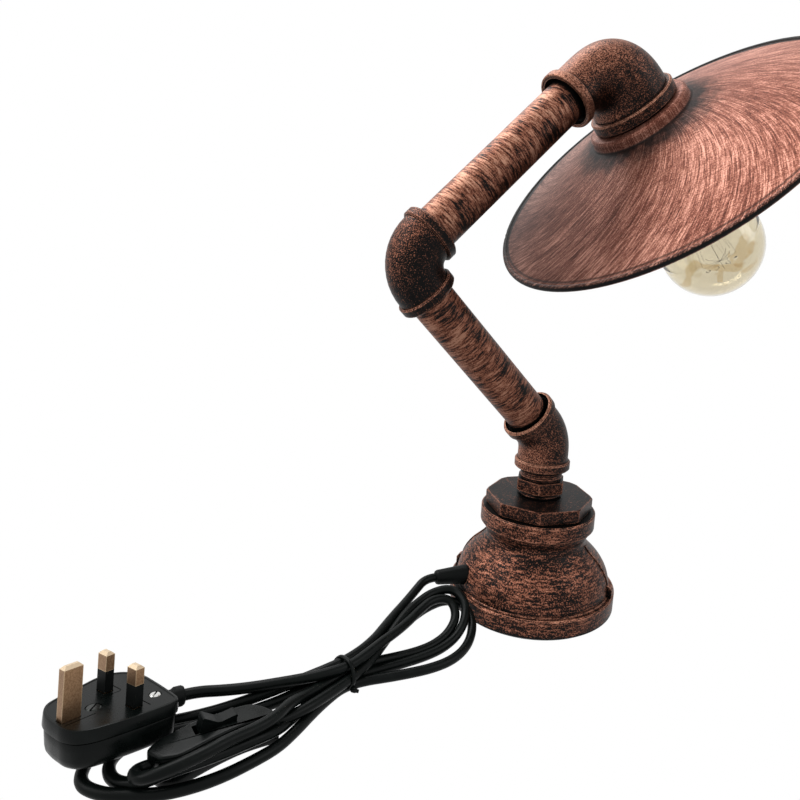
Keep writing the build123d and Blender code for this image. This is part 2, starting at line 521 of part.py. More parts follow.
def inset(pts, d):
    """Polygon (clockwise) with every side moved inwards by d."""
    out = []
    n = len(pts)
    for i in range(n):
        (ax, ay), (bx, by), (cx, cy) = pts[i - 1], pts[i], pts[(i + 1) % n]
        l1, l2 = hypot(bx - ax, by - ay), hypot(cx - bx, cy - by)
        n1 = ((by - ay) / l1, -(bx - ax) / l1)
        n2 = ((cy - by) / l2, -(cx - bx) / l2)
        k = d / (1 + n1[0] * n2[0] + n1[1] * n2[1])
        out.append((bx + (n1[0] + n2[0]) * k, by + (n1[1] + n2[1]) * k))
    return out


def sw_outline(off, z):
    f = make_face(Polyline(*[(x, y, 0) for x, y in inset(sw_full, off)], close=True))
    f = fillet(f.vertices(), 2.4 if off <= 0 else 1.2)
    return Pos(0, 0, z) * f


sw_low = extrude(sw_outline(0, 0), SW_SPLIT)
sw_low = fillet(sw_low.edges().group_by(Axis.Z)[0], 1.0)
sw_up = extrude(sw_outline(0, SW_SPLIT), SW_H - SW_SPLIT)
sw_up = fillet(sw_up.edges().group_by(Axis.Z)[-1], 1.3)
sw_low = sw_low - extrude(sw_outline(1.6, 1.6), SW_SPLIT)
sw_up = sw_up - extrude(sw_outline(1.6, SW_SPLIT - 1), SW_H - SW_SPLIT - 0.6)
RX, RY, PIV_Z = -0.6, 1.9, 11.5               # rocker's pivot
sw_up = sw_up - Pos(RX, RY, 15) * Box(18.6, 6.2, 6)
END_R, END_L = (24.7, -2.7), (-27.6, -0.2)    # where the flex enters
x_dir_hole = dict(x_dir=(0, 1, 0), z_dir=(1, 0, 0))
end_hole = Plane(origin=(0, END_R[1], 7.6), **x_dir_hole).location * cyl(2.8, 10, 40)
end_hole = end_hole + Plane(origin=(0, END_L[1], 7.6), **x_dir_hole).location * cyl(2.8, -40, -11)
sw_low = sw_low - end_hole
sw_up = sw_up - end_hole
rock_prof = Plane.XZ * make_face(Polyline((-7.9, 7.9), (-7.5, 8.3), (-6.9, 8.2), (-1.2, 6.0), (0, 5.8), (1.2, 6.0), (6.9, 8.2),
                                          (7.5, 8.3), (7.9, 7.9), (7.9, 1.2), (2.8, -2.8), (-2.8, -2.8), (-7.9, 1.2), close=True))
rocker = extrude(rock_prof, 2.9, both=True)
pin_y = Plane(origin=(0, 0, 0), x_dir=(1, 0, 0), z_dir=(0, 1, 0)).location * Cylinder(1.0, 8.5)
rocker = rocker + pin_y
ROCK = 14.0                                  # left end up at rest
rocker = Pos(RX, RY, PIV_Z) * (Rot(0, ROCK, 0) * rocker)
carrier = Pos(RX, 1.35, 1.7) * Box(18.0, 9.5, 5.7, align=(C_, C_, LOW))
for y in (-3.65, 3.65):
    carrier = carrier + Pos(RX, RY + y, 7.2) * Box(5.0, 1.1, 6.2, align=(C_, C_, LOW))
carrier = carrier - Plane(origin=(RX, RY, PIV_Z), x_dir=(1, 0, 0), z_dir=(0, 1, 0)).location * Cylinder(1.06, 20)
contacts = None
for x in (-6.2, 6.2):
    c = Pos(RX + x, RY, 7.4) * Box(5.2, 3.6, 0.5, align=(C_, C_, LOW))
    contacts = c if contacts is None else contacts + c
sw_screws = None
for x, y in ((-19.0, -1.5), (18.6, -1.2)):
    s = Pos(x, y, 0) * rev([(0, 0.3), (2.0, 0.3), (2.3, 0.6), (2.3, 1.5), (1.1, 1.5), (1.1, 4.4), (0, 4.4)])
    s = s - Pos(x, y, 0.2) * Box(5, 0.6, 1.1)
    sw_low = sw_low + Pos(x, y, 1.0) * Cylinder(3.6, 3.6, align=(C_, C_, LOW))
    sw_low = sw_low - Pos(x, y, -1) * Cylinder(2.4, 2.6, align=(C_, C_, LOW)) - Pos(x, y, 0) * Cylinder(1.12, 7, align=(C_, C_, LOW))
    sw_screws = s if sw_screws is None else sw_screws + s
for shp, name in ((sw_low, "switch_lower_case"), (sw_up, "switch_upper_case"), (rocker, "switch_rocker"),
                  (carrier, "switch_carrier"), (contacts, "switch_contacts"), (sw_screws, "switch_screws")):
    save(sw_frame * shp, name)

# ----------------------------------------------------------------------------
# cord: the hank with its tie, the stretch from the gland and the one to the plug
# ----------------------------------------------------------------------------


def prism(pts, z0, z1):
    return Pos(0, 0, z0) * extrude(make_face(Polyline(*[(x, y, 0) for x, y in pts], close=True)), z1 - z0)


TIE_C = vec(-145.5, -44.0, 8.15)
TIE_YAW = radians(20)
tie_frame = Plane(origin=TIE_C, x_dir=rotz((0, 1, 0), TIE_YAW), z_dir=rotz((1, 0, 0), TIE_YAW)).location
knot = extrude(Ellipse(8.4, 7.2), 11.0, both=True)
tie = extrude(Ellipse(9.3, 8.05), 1.3, both=True) - extrude(Ellipse(8.45, 7.25), 3, both=True)
tie = tie_frame * (tie + Pos(-7.6, -5.6, 0) * Box(3.0, 3.6, 3.4) - extrude(Ellipse(8.45, 7.25), 3, both=True))
tie = tie & (Pos(-145, -45, 0.02) * Box(80, 80, 40, align=(C_, C_, LOW)))
save(tie, "hank_tie")

ring_out = [(-139, -52.5), (-126, -53.5), (-108, -54), (-92, -53.5), (-79, -49.5), (-68, -41.5), (-60, -31), (-56.4, -20),
            (-56.6, -11), (-60, -1.5), (-66, 0.5), (-76, 0.5), (-90, -5), (-104, -14), (-120, -25), (-137, -35)]
ring_in = [(-107, -31), (-98, -31), (-88, -30), (-78, -26.5), (-71, -19.5), (-71.5, -14.5), (-80, -12.5), (-91, -18.5),
           (-100, -25)]
wedge = extrude(make_face(Polyline((-150, -62, 0.0), (-150, -40, 0.0), (-150, 8, 11.5), (-150, 8, 22.8), (-150, -6, 22.8),
                                   (-150, -20, 19.5), (-150, -40, 12.5), (-150, -62, 6.4), close=True)), 100, dir=(1, 0, 0))
ring = (prism(ring_out, 0, 30) - prism(ring_in, -1, 31)) & wedge
left = prism([(-151, -36), (-165, -38.5), (-190, -40), (-212, -39), (-228, -37.2), (-244, -37), (-257.5, -41.5), (-266.5, -52),
              (-268.5, -66), (-260, -79), (-248.5, -87), (-236, -91.2), (-222, -90.2), (-206, -86.8), (-192, -82), (-180, -75),
              (-166, -64.5), (-152, -53)], 0, 5.4)
left = left + prism([(-151, -37), (-165, -39), (-184, -41), (-184, -69), (-178, -72), (-166, -64), (-152, -55)], 0, 12.0)
left = left + prism([(-249, -79), (-248, -87), (-236, -91.2), (-222, -89), (-206, -83.5), (-190, -78.5), (-178, -72), (-178, -66),
                     (-190, -75), (-210, -80), (-225, -84), (-236, -84), (-243, -79)], 0, 12.5)
left = left - sw_frame * extrude(sw_outline(-0.3, -1), 30)
left = left - plug_frame * extrude(outline(0, -BACK_T - 0.3), 30)
left = left - prism([(-251, -60), (-247, -53), (-236, -50.5), (-210, -52), (-192, -51.5), (-185, -55), (-186, -60), (-200, -58),
                     (-225, -59), (-243, -69), (-250, -69)], -1, 30)
hank = ring + left + tie_frame * knot
hank = hank - tie
print("hank pieces", [round(x.volume, 1) for x in hank.solids()])
hank = max(hank.solids(), key=lambda x: x.volume)
save(hank, "cord_hank")


def runs(pts):
    """Bend radius at each corner of a route: 0.45 of the shorter run over tan(half turn)."""
    out = []
    for a, b, c in zip(pts[:-2], pts[1:-1], pts[2:]):
        u, v = vec(*b) - vec(*a), vec(*c) - vec(*b)
        turn = radians(u.get_angle(v))
        out.append(0.45 * min(u.length, v.length) / tan(turn / 2))
    return out


def cord(pts, name):
    rad = runs(pts)
    path = FilletPolyline(*pts, radius=rad)
    start = vec(*pts[1]) - vec(*pts[0])
    body = sweep(Plane(origin=pts[0], z_dir=start) * Circle(FR), path)
    print(name, "radii", [round(r, 1) for r in rad], "length", round(path.length, 1),
          "volume/(section x length)", round(body.volume / (pi * FR * FR * path.length), 4))
    save(body, name)


GLAND_ROUTE = [(G_EXIT.X, G_EXIT.Y, G_EXIT.Z), (-75.2, 9.9, 21.8), (-84.9, 3.2, 18.7), (-95.1, -4.6, 16.4), (-104.8, -12.2, 15.2),
               (-114.0, -20.5, 14.5), (-123.2, -28.9, 13.7), (-133.6, -35.8, 13.2)]
cord(GLAND_ROUTE, "cord_from_gland")

ge = (plug_frame * (gx * Pos(0, 0, GRIP_L))).position
g2 = (plug_frame * (gx * Pos(0, 0, GRIP_L + 6.0))).position
PLUG_ROUTE = [(ge.X, ge.Y, ge.Z), (g2.X, g2.Y, g2.Z), (-204.9, -39.3, 11.6), (-192.4, -42.0, 11.5), (-180.4, -44.7, 12.3),
              (-168.2, -46.8, 12.8), (-155.8, -47.8, 13.1)]
print("plug exit", ge, "straight on", g2)
cord(PLUG_ROUTE, "cord_to_plug")
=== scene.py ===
import bpy
import bmesh
import math
from mathutils import Matrix, Vector


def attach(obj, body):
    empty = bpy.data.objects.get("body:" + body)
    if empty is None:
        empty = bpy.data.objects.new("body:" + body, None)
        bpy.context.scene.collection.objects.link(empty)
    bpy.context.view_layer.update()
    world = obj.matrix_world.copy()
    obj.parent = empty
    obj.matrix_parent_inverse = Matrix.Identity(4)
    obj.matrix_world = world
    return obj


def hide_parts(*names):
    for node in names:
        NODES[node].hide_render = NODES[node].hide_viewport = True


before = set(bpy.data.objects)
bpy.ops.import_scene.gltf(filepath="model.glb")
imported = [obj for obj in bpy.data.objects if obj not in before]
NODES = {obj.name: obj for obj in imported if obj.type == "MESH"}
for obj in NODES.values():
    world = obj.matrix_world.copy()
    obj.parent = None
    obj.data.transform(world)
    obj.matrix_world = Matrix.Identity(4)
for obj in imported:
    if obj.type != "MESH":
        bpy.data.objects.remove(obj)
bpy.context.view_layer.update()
scene = bpy.context.scene

# ---------------------------------------------------------------- camera
CAM_R = Vector((0.8742, -0.4802, 0.0717)).normalized()
CAM_F = Vector((0.4853, 0.8605, -0.1551)).normalized()
CAM_U = CAM_R.cross(CAM_F).normalized()
CAM_POS = Vector((-0.2612, -0.3691, 0.2421))
cam_data = bpy.data.cameras.new("camera")
cam_data.sensor_fit = "HORIZONTAL"
cam_data.sensor_width = 36.0
cam_data.lens = 31.92
cam_data.shift_x = -0.1007
cam_data.shift_y = -0.0721
cam_data.clip_start = 0.01
cam_data.clip_end = 50.0
cam = bpy.data.objects.new("camera", cam_data)
m = Matrix.Identity(4)
for i in range(3):
    m[i][0], m[i][1], m[i][2], m[i][3] = CAM_R[i], CAM_U[i], -CAM_F[i], CAM_POS[i]
cam.matrix_world = m
scene.collection.objects.link(cam)
scene.camera = cam

# ---------------------------------------------------------------- cords
# Control points of the flex, in metres: the gland's route, the hank's turns, the plug's route.
GLAND_ROUTE = [
    (-0.0686, 0.0090, 0.0218), (-0.0752, 0.0099, 0.0218), (-0.0849, 0.0032, 0.0187), (-0.0951, -0.0046, 0.0164), (-0.1048, -0.0122, 0.0152),
    (-0.1140, -0.0205, 0.0145), (-0.1232, -0.0289, 0.0137), (-0.1336, -0.0358, 0.0132),
]
HANK_MAINS = [
    (-0.1450, -0.0409, 0.0128), (-0.1571, -0.0427, 0.0116), (-0.1695, -0.0427, 0.0094), (-0.1817, -0.0428, 0.0073), (-0.1941, -0.0430, 0.0058),
    (-0.2065, -0.0427, 0.0042), (-0.2188, -0.0416, 0.0032), (-0.2312, -0.0402, 0.0028), (-0.2438, -0.0402, 0.0027), (-0.2558, -0.0443, 0.0027),
    (-0.2643, -0.0538, 0.0027), (-0.2666, -0.0655, 0.0027), (-0.2592, -0.0746, 0.0027), (-0.2480, -0.0808, 0.0027), (-0.2357, -0.0850, 0.0027),
    (-0.2229, -0.0860, 0.0027), (-0.2107, -0.0846, 0.0027), (-0.1986, -0.0812, 0.0027), (-0.1869, -0.0770, 0.0027), (-0.1770, -0.0697, 0.0027),
    (-0.1675, -0.0615, 0.0027), (-0.1574, -0.0540, 0.0029), (-0.1468, -0.0476, 0.0030), (-0.1348, -0.0467, 0.0028), (-0.1223, -0.0486, 0.0027),
    (-0.1099, -0.0500, 0.0027), (-0.0974, -0.0506, 0.0027), (-0.0850, -0.0488, 0.0028), (-0.0737, -0.0434, 0.0033), (-0.0645, -0.0350, 0.0050),
    (-0.0582, -0.0242, 0.0085), (-0.0584, -0.0121, 0.0127), (-0.0683, -0.0057, 0.0141), (-0.0812, -0.0076, 0.0130), (-0.0929, -0.0124, 0.0113),
    (-0.1042, -0.0171, 0.0094), (-0.1153, -0.0226, 0.0085), (-0.1261, -0.0289, 0.0085), (-0.1373, -0.0343, 0.0084), (-0.1486, -0.0393, 0.0077),
    (-0.1604, -0.0431, 0.0059), (-0.1724, -0.0456, 0.0042), (-0.1847, -0.0474, 0.0032), (-0.1972, -0.0484, 0.0028), (-0.2096, -0.0486, 0.0027),
    (-0.2220, -0.0478, 0.0027), (-0.2346, -0.0467, 0.0027), (-0.2474, -0.0486, 0.0027), (-0.2560, -0.0576, 0.0027), (-0.2543, -0.0700, 0.0027),
    (-0.2447, -0.0788, 0.0055), (-0.2328, -0.0824, 0.0104), (-0.2207, -0.0819, 0.0106), (-0.2085, -0.0787, 0.0094), (-0.1962, -0.0757, 0.0090),
    (-0.1856, -0.0711, 0.0070), (-0.1772, -0.0624, 0.0040), (-0.1674, -0.0546, 0.0029), (-0.1570, -0.0474, 0.0028), (-0.1461, -0.0418, 0.0028),
    (-0.1339, -0.0410, 0.0027), (-0.1214, -0.0406, 0.0027), (-0.1089, -0.0402, 0.0027), (-0.0964, -0.0395, 0.0030), (-0.0842, -0.0374, 0.0039),
    (-0.0727, -0.0329, 0.0064), (-0.0636, -0.0253, 0.0112), (-0.0591, -0.0144, 0.0173), (-0.0637, -0.0040, 0.0203), (-0.0761, -0.0029, 0.0191),
    (-0.0881, -0.0079, 0.0172), (-0.0987, -0.0144, 0.0157), (-0.1083, -0.0219, 0.0131), (-0.1177, -0.0296, 0.0105), (-0.1269, -0.0379, 0.0093),
    (-0.1368, -0.0453, 0.0084), (-0.1476, -0.0515, 0.0079), (-0.1585, -0.0574, 0.0080), (-0.1702, -0.0629, 0.0080), (-0.1817, -0.0663, 0.0077),
    (-0.1876, -0.0670, 0.0076), (-0.1906, -0.0674, 0.0076),
]
HANK_PLUG = [
    (-0.2396, -0.0724, 0.0076), (-0.2470, -0.0724, 0.0076), (-0.2455, -0.0840, 0.0112), (-0.2331, -0.0870, 0.0150), (-0.2208, -0.0846, 0.0156),
    (-0.2094, -0.0802, 0.0158), (-0.1975, -0.0766, 0.0148), (-0.1865, -0.0720, 0.0150), (-0.1786, -0.0633, 0.0135), (-0.1693, -0.0555, 0.0094),
    (-0.1585, -0.0497, 0.0081), (-0.1472, -0.0445, 0.0080), (-0.1363, -0.0389, 0.0070), (-0.1248, -0.0356, 0.0046), (-0.1125, -0.0350, 0.0037),
    (-0.1000, -0.0346, 0.0034), (-0.0878, -0.0330, 0.0041), (-0.0762, -0.0288, 0.0066), (-0.0670, -0.0203, 0.0114), (-0.0671, -0.0103, 0.0173),
    (-0.0789, -0.0092, 0.0183), (-0.0906, -0.0151, 0.0160), (-0.1007, -0.0223, 0.0150), (-0.1109, -0.0291, 0.0150), (-0.1217, -0.0351, 0.0149),
    (-0.1325, -0.0411, 0.0140), (-0.1437, -0.0462, 0.0130),
]
PLUG_ROUTE = [
    (-0.1558, -0.0478, 0.0131), (-0.1682, -0.0468, 0.0128), (-0.1804, -0.0447, 0.0123), (-0.1924, -0.0420, 0.0115), (-0.2049, -0.0393, 0.0116),
    (-0.2168, -0.0370, 0.0127), (-0.2227, -0.0380, 0.0133),
]


def flex(name, pts):
    cu = bpy.data.curves.new(name, "CURVE")
    cu.dimensions = "3D"
    cu.bevel_depth = 0.0027
    cu.bevel_resolution = 6
    cu.resolution_u = 10
    cu.use_fill_caps = True
    sp = cu.splines.new("NURBS")
    sp.points.add(len(pts) - 1)
    for q, p in zip(sp.points, pts):
        q.co = (p[0], p[1], p[2], 1.0)
    sp.order_u = 3
    sp.use_endpoint_u = True
    ob = bpy.data.objects.new(name, cu)
    scene.collection.objects.link(ob)
    return ob


def link_mesh(name, bm, smooth=True):
    me = bpy.data.meshes.new(name)
    bm.to_mesh(me)
    bm.free()
    for p in me.polygons:
        p.use_smooth = smooth
    ob = bpy.data.objects.new(name, me)
    scene.collection.objects.link(ob)
    return ob


mains = flex("mains_cord", GLAND_ROUTE + HANK_MAINS)
lead = flex("plug_cord", HANK_PLUG + PLUG_ROUTE)

# the thin tie round the seven strands, with its twisted tail
TIE_C = Vector((-0.1455, -0.0440, 0.0080))
TIE_U = Vector((-0.342, 0.940, 0.0)).normalized()
TIE_A = Vector((0.940, 0.342, 0.0)).normalized()
UPZ = Vector((0, 0, 1))


def tube(bm, pts, rad, closed=False, seg=10, flat=1.0):
    n = len(pts)
    rings = []
    prev = None
    for i, p in enumerate(pts):
        a = pts[(i - 1) % n] if (closed or i > 0) else p
        b = pts[(i + 1) % n] if (closed or i < n - 1) else p
        t = (b - a).normalized()
        if prev is None:
            ref = TIE_A if abs(t.dot(TIE_A)) < 0.9 else UPZ
            prev = (ref - t * ref.dot(t)).normalized()
        else:
            prev = (prev - t * prev.dot(t)).normalized()
        side = t.cross(prev)
        r = rad[i] if isinstance(rad, (list, tuple)) else rad
        rings.append([bm.verts.new(p + prev * (r * flat * math.cos(2 * math.pi * k / seg)) + side * (r * math.sin(2 * math.pi * k / seg)))
                      for k in range(seg)])
    for i in range(n if closed else n - 1):
        r0, r1 = rings[i], rings[(i + 1) % n]
        for k in range(seg):
            bm.faces.new((r0[k], r0[(k + 1) % seg], r1[(k + 1) % seg], r1[k]))
    if not closed:
        bm.faces.new(list(reversed(rings[0])))
        bm.faces.new(rings[-1])
    return rings


bm = bmesh.new()
hull = [(8.9, 0.2), (8.2, 3.6), (6.0, 6.4), (3.6, 7.9), (0.0, 8.4), (-3.4, 8.3), (-6.2, 6.6), (-8.2, 3.4), (-8.9, -0.2), (-7.4, -3.4),
        (-5.9, -5.6), (-3.6, -6.8), (0.0, -7.1), (3.6, -6.8), (6.2, -5.4), (8.0, -3.0)]
fine = []
for i in range(len(hull)):
    p0, p1, p2, p3 = [Vector(hull[(i + k) % len(hull)]) for k in (-1, 0, 1, 2)]
    for s in range(5):
        t = s / 5
        q = 0.5 * ((2 * p1) + (p2 - p0) * t + (2 * p0 - 5 * p1 + 4 * p2 - p3) * t * t + (3 * p1 - 3 * p2 + p3 - p0) * t ** 3)
        ang = math.atan2(q.y, q.x)
        fine.append(TIE_C + (TIE_U * q.x + UPZ * q.y + TIE_A * (0.9 * math.sin(ang + 0.6))) * 0.001)
tube(bm, fine, 0.00062, closed=True, flat=1.9)
kn = [(-7.6, -4.0, -1.0), (-8.6, -4.6, 0.6), (-8.4, -5.6, 1.8), (-7.2, -6.0, 1.0), (-7.4, -5.2, -0.8), (-8.8, -4.6, -1.4), (-9.4, -5.4, 0.0),
      (-9.0, -6.2, 1.6), (-9.5, -6.5, 2.4)]
kp = [TIE_C + (TIE_U * x + UPZ * z + TIE_A * y) * 0.001 for x, z, y in kn]
tube(bm, kp, 0.00072, seg=8, flat=1.3)
tie = link_mesh("hank_tie_band", bm)
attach(tie, "base")
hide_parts("hank_tie")

# ---------------------------------------------------------------- plug and switch shells
PLUG_X = Vector((0.867530, 0.480880, -0.127065))
PLUG_Z = Vector((0.062433, 0.148165, 0.986990))
PLUG_Y = PLUG_Z.cross(PLUG_X)
PLUG_OV = Vector((-0.2513, -0.0467, 0.0257))


def PLUG_AT(x, y, z):
    return PLUG_OV + (PLUG_X * x + PLUG_Y * y + PLUG_Z * z) * 0.001


SW_X = Vector((math.cos(math.radians(9.0)), math.sin(math.radians(9.0)), 0.0))
SW_Y = UPZ.cross(SW_X)
SW_OV = Vector((-0.2123, -0.0680, 0.0))


def SW_AT(x, y, z):
    return SW_OV + (SW_X * x + SW_Y * y + UPZ * z) * 0.001


def round_off(pts, limit, steps):
    """Closed outline with a curve at each corner; shallow corners get the longest curve their sides allow."""
    v = [Vector(q) for q in pts]
    out = []
    for i in range(len(v)):
        a, b, c = v[i - 1], v[i], v[(i + 1) % len(v)]
        u, w = (a - b), (c - b)
        turn = math.pi - u.angle(w)
        cut = 0.48 * min(u.length, w.length)
        if turn > math.radians(36.0):
            cut = min(cut, limit)
        p, q = b + u.normalized() * cut, b + w.normalized() * cut
        for s in range(steps + 1):
            f = s / steps
            out.append(p * (1 - f) ** 2 + b * (2 * f * (1 - f)) + q * f ** 2)
    return out


def slab(name, out, rows, at):
    """Shell of a closed outline: each row is (inset, height), first and last rows are filled."""
    bm = bmesh.new()
    n = len(out)
    area = sum(out[i].x * out[(i + 1) % n].y - out[(i + 1) % n].x * out[i].y for i in range(n))
    s = 1.0 if area > 0 else -1.0
    nor = []
    for i in range(n):
        d = out[(i + 1) % n] - out[i - 1]
        nor.append(Vector((d.y, -d.x)).normalized() * s)
    rings = []
    for ins, z in rows:
        rings.append([bm.verts.new(at(out[i].x - nor[i].x * ins, out[i].y - nor[i].y * ins, z)) for i in range(n)])
    for r0, r1 in zip(rings[:-1], rings[1:]):
        for i in range(n):
            bm.faces.new((r0[i], r0[(i + 1) % n], r1[(i + 1) % n], r1[i]))
    bm.faces.new(rings[0])
    bm.faces.new(rings[-1])
    bmesh.ops.recalc_face_normals(bm, faces=bm.faces)
    return link_mesh(name, bm)


def box_cut(at, cx, cy, lx, ly, z0, z1, r=0.5):
    bm = bmesh.new()
    base = round_off([(cx - lx / 2, cy - ly / 2), (cx + lx / 2, cy - ly / 2), (cx + lx / 2, cy + ly / 2), (cx - lx / 2, cy + ly / 2)], r, 3)
    lo_ring = [bm.verts.new(at(q.x, q.y, z0)) for q in base]
    hi_ring = [bm.verts.new(at(q.x, q.y, z1)) for q in base]
    k = len(base)
    for i in range(k):
        bm.faces.new((lo_ring[i], lo_ring[(i + 1) % k], hi_ring[(i + 1) % k], hi_ring[i]))
    bm.faces.new(lo_ring)
    bm.faces.new(hi_ring)
    bmesh.ops.recalc_face_normals(bm, faces=bm.faces)
    return bm


def disc_cut(at, cx, cy, r, z0, z1):
    bm = bmesh.new()
    k = 32
    rows = [[bm.verts.new(at(cx + r * math.cos(2 * math.pi * i / k), cy + r * math.sin(2 * math.pi * i / k), z)) for i in range(k)] for z in (z0, z1)]
    for i in range(k):
        bm.faces.new((rows[0][i], rows[0][(i + 1) % k], rows[1][(i + 1) % k], rows[1][i]))
    bm.faces.new(rows[0])
    bm.faces.new(rows[1])
    bmesh.ops.recalc_face_normals(bm, faces=bm.faces)
    return bm


def carve(ob, cutters):
    tmp = []
    for i, c in enumerate(cutters):
        co = link_mesh("cutter_%d" % i, c, smooth=False)
        md = ob.modifiers.new("cut", "BOOLEAN")
        md.operation = "DIFFERENCE"
        md.solver = "EXACT"
        md.object = co
        tmp.append(co)
    dg = bpy.context.evaluated_depsgraph_get()
    me = bpy.data.meshes.new_from_object(ob.evaluated_get(dg))
    ob.modifiers.clear()
    ob.data = me
    for co in tmp:
        bpy.data.objects.remove(co, do_unlink=True)


def crisp(ob, angle):
    bm = bmesh.new()
    bm.from_mesh(ob.data)
    for f in bm.faces:
        f.smooth = True
    for e in bm.edges:
        e.smooth = not (len(e.link_faces) == 2 and e.calc_face_angle(0.0) > math.radians(angle))
    bm.to_mesh(ob.data)
    bm.free()


PLUG_LINE = [(-27.6, -6.2), (-27.2, 4.8), (-26.0, 12.0), (-21.2, 18.9), (-14.2, 20.9), (-2.4, 23.4), (4.9, 25.1), (12.4, 24.0), (16.8, 20.0),
             (19.4, 13.6), (19.8, 8.5), (18.8, -3.2), (17.8, -11.5), (16.2, -23.2), (-0.9, -20.9), (-11.9, -18.6), (-20.1, -16.3), (-25.3, -12.6)]
line = round_off(PLUG_LINE, 6.0, 6)
plug_face = slab("plug_face_shell", line, [(2.4, -0.28), (1.5, -0.28), (1.2, 0.0), (0.6, 0.0), (0.2, -0.12), (0.0, -0.5), (-0.25, -5.0), (-0.15, -5.5),
                                           (0.3, -5.75), (1.9, -5.75)], PLUG_AT)
carve(plug_face, [disc_cut(PLUG_AT, -10.3, 0.8, 3.45, -1.95, 2.0), disc_cut(PLUG_AT, 12.0, -9.5, 2.75, -1.95, 2.0),
                  box_cut(PLUG_AT, -21.4, 0.0, 8.7, 4.7, -1.2, 2.0), box_cut(PLUG_AT, 0.8, -11.1, 4.6, 6.95, -1.2, 2.0),
                  box_cut(PLUG_AT, 0.8, 11.1, 4.6, 6.95, -1.2, 2.0), box_cut(PLUG_AT, -19.0, -4.6, 13.0, 0.5, -0.6, 2.0, 0.1),
                  box_cut(PLUG_AT, 5.4, -11.1, 0.5, 10.0, -0.6, 2.0, 0.1), box_cut(PLUG_AT, 5.4, 11.1, 0.5, 10.0, -0.6, 2.0, 0.1),
                  box_cut(PLUG_AT, 0.2, 5.4, 9.5, 0.5, -0.6, 2.0, 0.1)])
crisp(plug_face, 30)
plug_back = slab("plug_back_shell", line, [(2.0, -6.1), (1.35, -6.15), (0.75, -6.35), (0.55, -6.9), (0.75, -10.0), (1.05, -13.6), (1.5, -15.6), (2.3, -16.9),
                                           (3.4, -17.6), (4.8, -17.8)], PLUG_AT)
crisp(plug_back, 40)
SW_LINE = [(-29.6, 0.9), (-24.8, 4.6), (-16.9, 6.5), (-8.6, 8.4), (2.0, 8.4), (12.7, 8.1), (17.7, 6.8), (22.2, 2.3), (26.9, -7.6),
           (11.1, -5.6), (-2.4, -6.9), (-14.7, -9.5), (-19.5, -9.9), (-25.6, -7.4)]
sline = round_off(SW_LINE, 1.9, 6)
sw_bottom = slab("switch_bottom_shell", sline, [(1.8, 0.1), (0.9, 0.1), (0.4, 0.3), (0.1, 0.9), (0.0, 1.6), (0.0, 6.6), (0.25, 6.95), (1.2, 6.95)], SW_AT)
crisp(sw_bottom, 40)
sw_top = slab("switch_top_shell", sline, [(1.2, 7.0), (0.25, 7.0), (0.0, 7.3), (0.0, 13.6), (0.12, 14.4), (0.5, 15.0), (1.1, 15.2), (1.9, 15.25)], SW_AT)
carve(sw_top, [box_cut(SW_AT, -0.6, 1.9, 18.4, 6.4, 7.5, 20.0), box_cut(SW_AT, -0.6, 1.9, 3.0, 9.2, 9.9, 13.1, 0.3)])
crisp(sw_top, 40)
for ob, node in ((plug_face, "plug_base"), (plug_back, "plug_cover"), (sw_bottom, "switch_lower_case"), (sw_top, "switch_upper_case")):
    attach(ob, "base")
    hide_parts(node)

for ob in (mains, lead):
    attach(ob, "base")
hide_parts("cord_from_gland", "cord_hank")
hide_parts("cord_to_plug")

# ---------------------------------------------------------------- thread on the hexagon nipple


def thread(name, z0, z1, r, pitch, height, hand=1):
    """A real helical thread: one strip that climbs once per pitch, on a cylinder of radius r."""
    bm = bmesh.new()
    seg = 64
    turns = (z1 - z0) / pitch
    n = int(seg * turns)
    prof = [(0.0, -0.5), (0.35, -0.28), (1.0, -0.08), (1.0, 0.08), (0.35, 0.28), (0.0, 0.5)]
    rows = []
    for i in range(n + 1):
        a = 2 * math.pi * i / seg * hand
        zc = z0 + pitch * 0.5 + (z1 - z0 - pitch) * i / n
        fade = min(1.0, i / 14.0, (n - i) / 14.0)
        rows.append([bm.verts.new(((r - 0.0003 + (height + 0.0003) * h * fade + 0.0001 * fade) * math.cos(a),
                                   (r - 0.0003 + (height + 0.0003) * h * fade + 0.0001 * fade) * math.sin(a), zc + dz * pitch))
                     for h, dz in prof])
    for i in range(n):
        for k in range(len(prof) - 1):
            bm.faces.new((rows[i][k], rows[i + 1][k], rows[i + 1][k + 1], rows[i][k + 1]))
    ob = link_mesh(name, bm)
    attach(ob, "base")
    return ob


def ring_band(name, origin, axis, s0, s1, r, thick, body):
    """A raised band round a fitting's mouth, with rounded edges."""
    axis = Vector(axis)
    u = Vector((0, 1, 0))
    w = axis.cross(u)
    prof = [(s0, r - 0.0014), (s0, r + thick * 0.2), (s0 + 0.0004, r + thick * 0.75), (s0 + 0.0011, r + thick), (s1 - 0.0012, r + thick),
            (s1 - 0.0004, r + thick * 0.7), (s1, r + thick * 0.1), (s1, r - 0.0014)]
    bm = bmesh.new()
    k = 96
    rows = [[bm.verts.new(Vector(origin) + axis * s + (u * math.cos(2 * math.pi * i / k) + w * math.sin(2 * math.pi * i / k)) * q) for i in range(k)]
            for s, q in prof]
    for j in range(len(prof)):
        r0, r1 = rows[j], rows[(j + 1) % len(prof)]
        for i in range(k):
            bm.faces.new((r0[i], r0[(i + 1) % k], r1[(i + 1) % k], r1[i]))
    bmesh.ops.recalc_face_normals(bm, faces=bm.faces)
    ob = link_mesh(name, bm)
    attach(ob, body)
    return ob


TH_TOP = thread("nipple_thread_top", 0.0848, 0.0945, 0.0132, 0.00181, 0.00042)
TH_LOW = thread("nipple_thread_low", 0.0729, 0.0773, 0.0132, 0.00181, 0.00042)

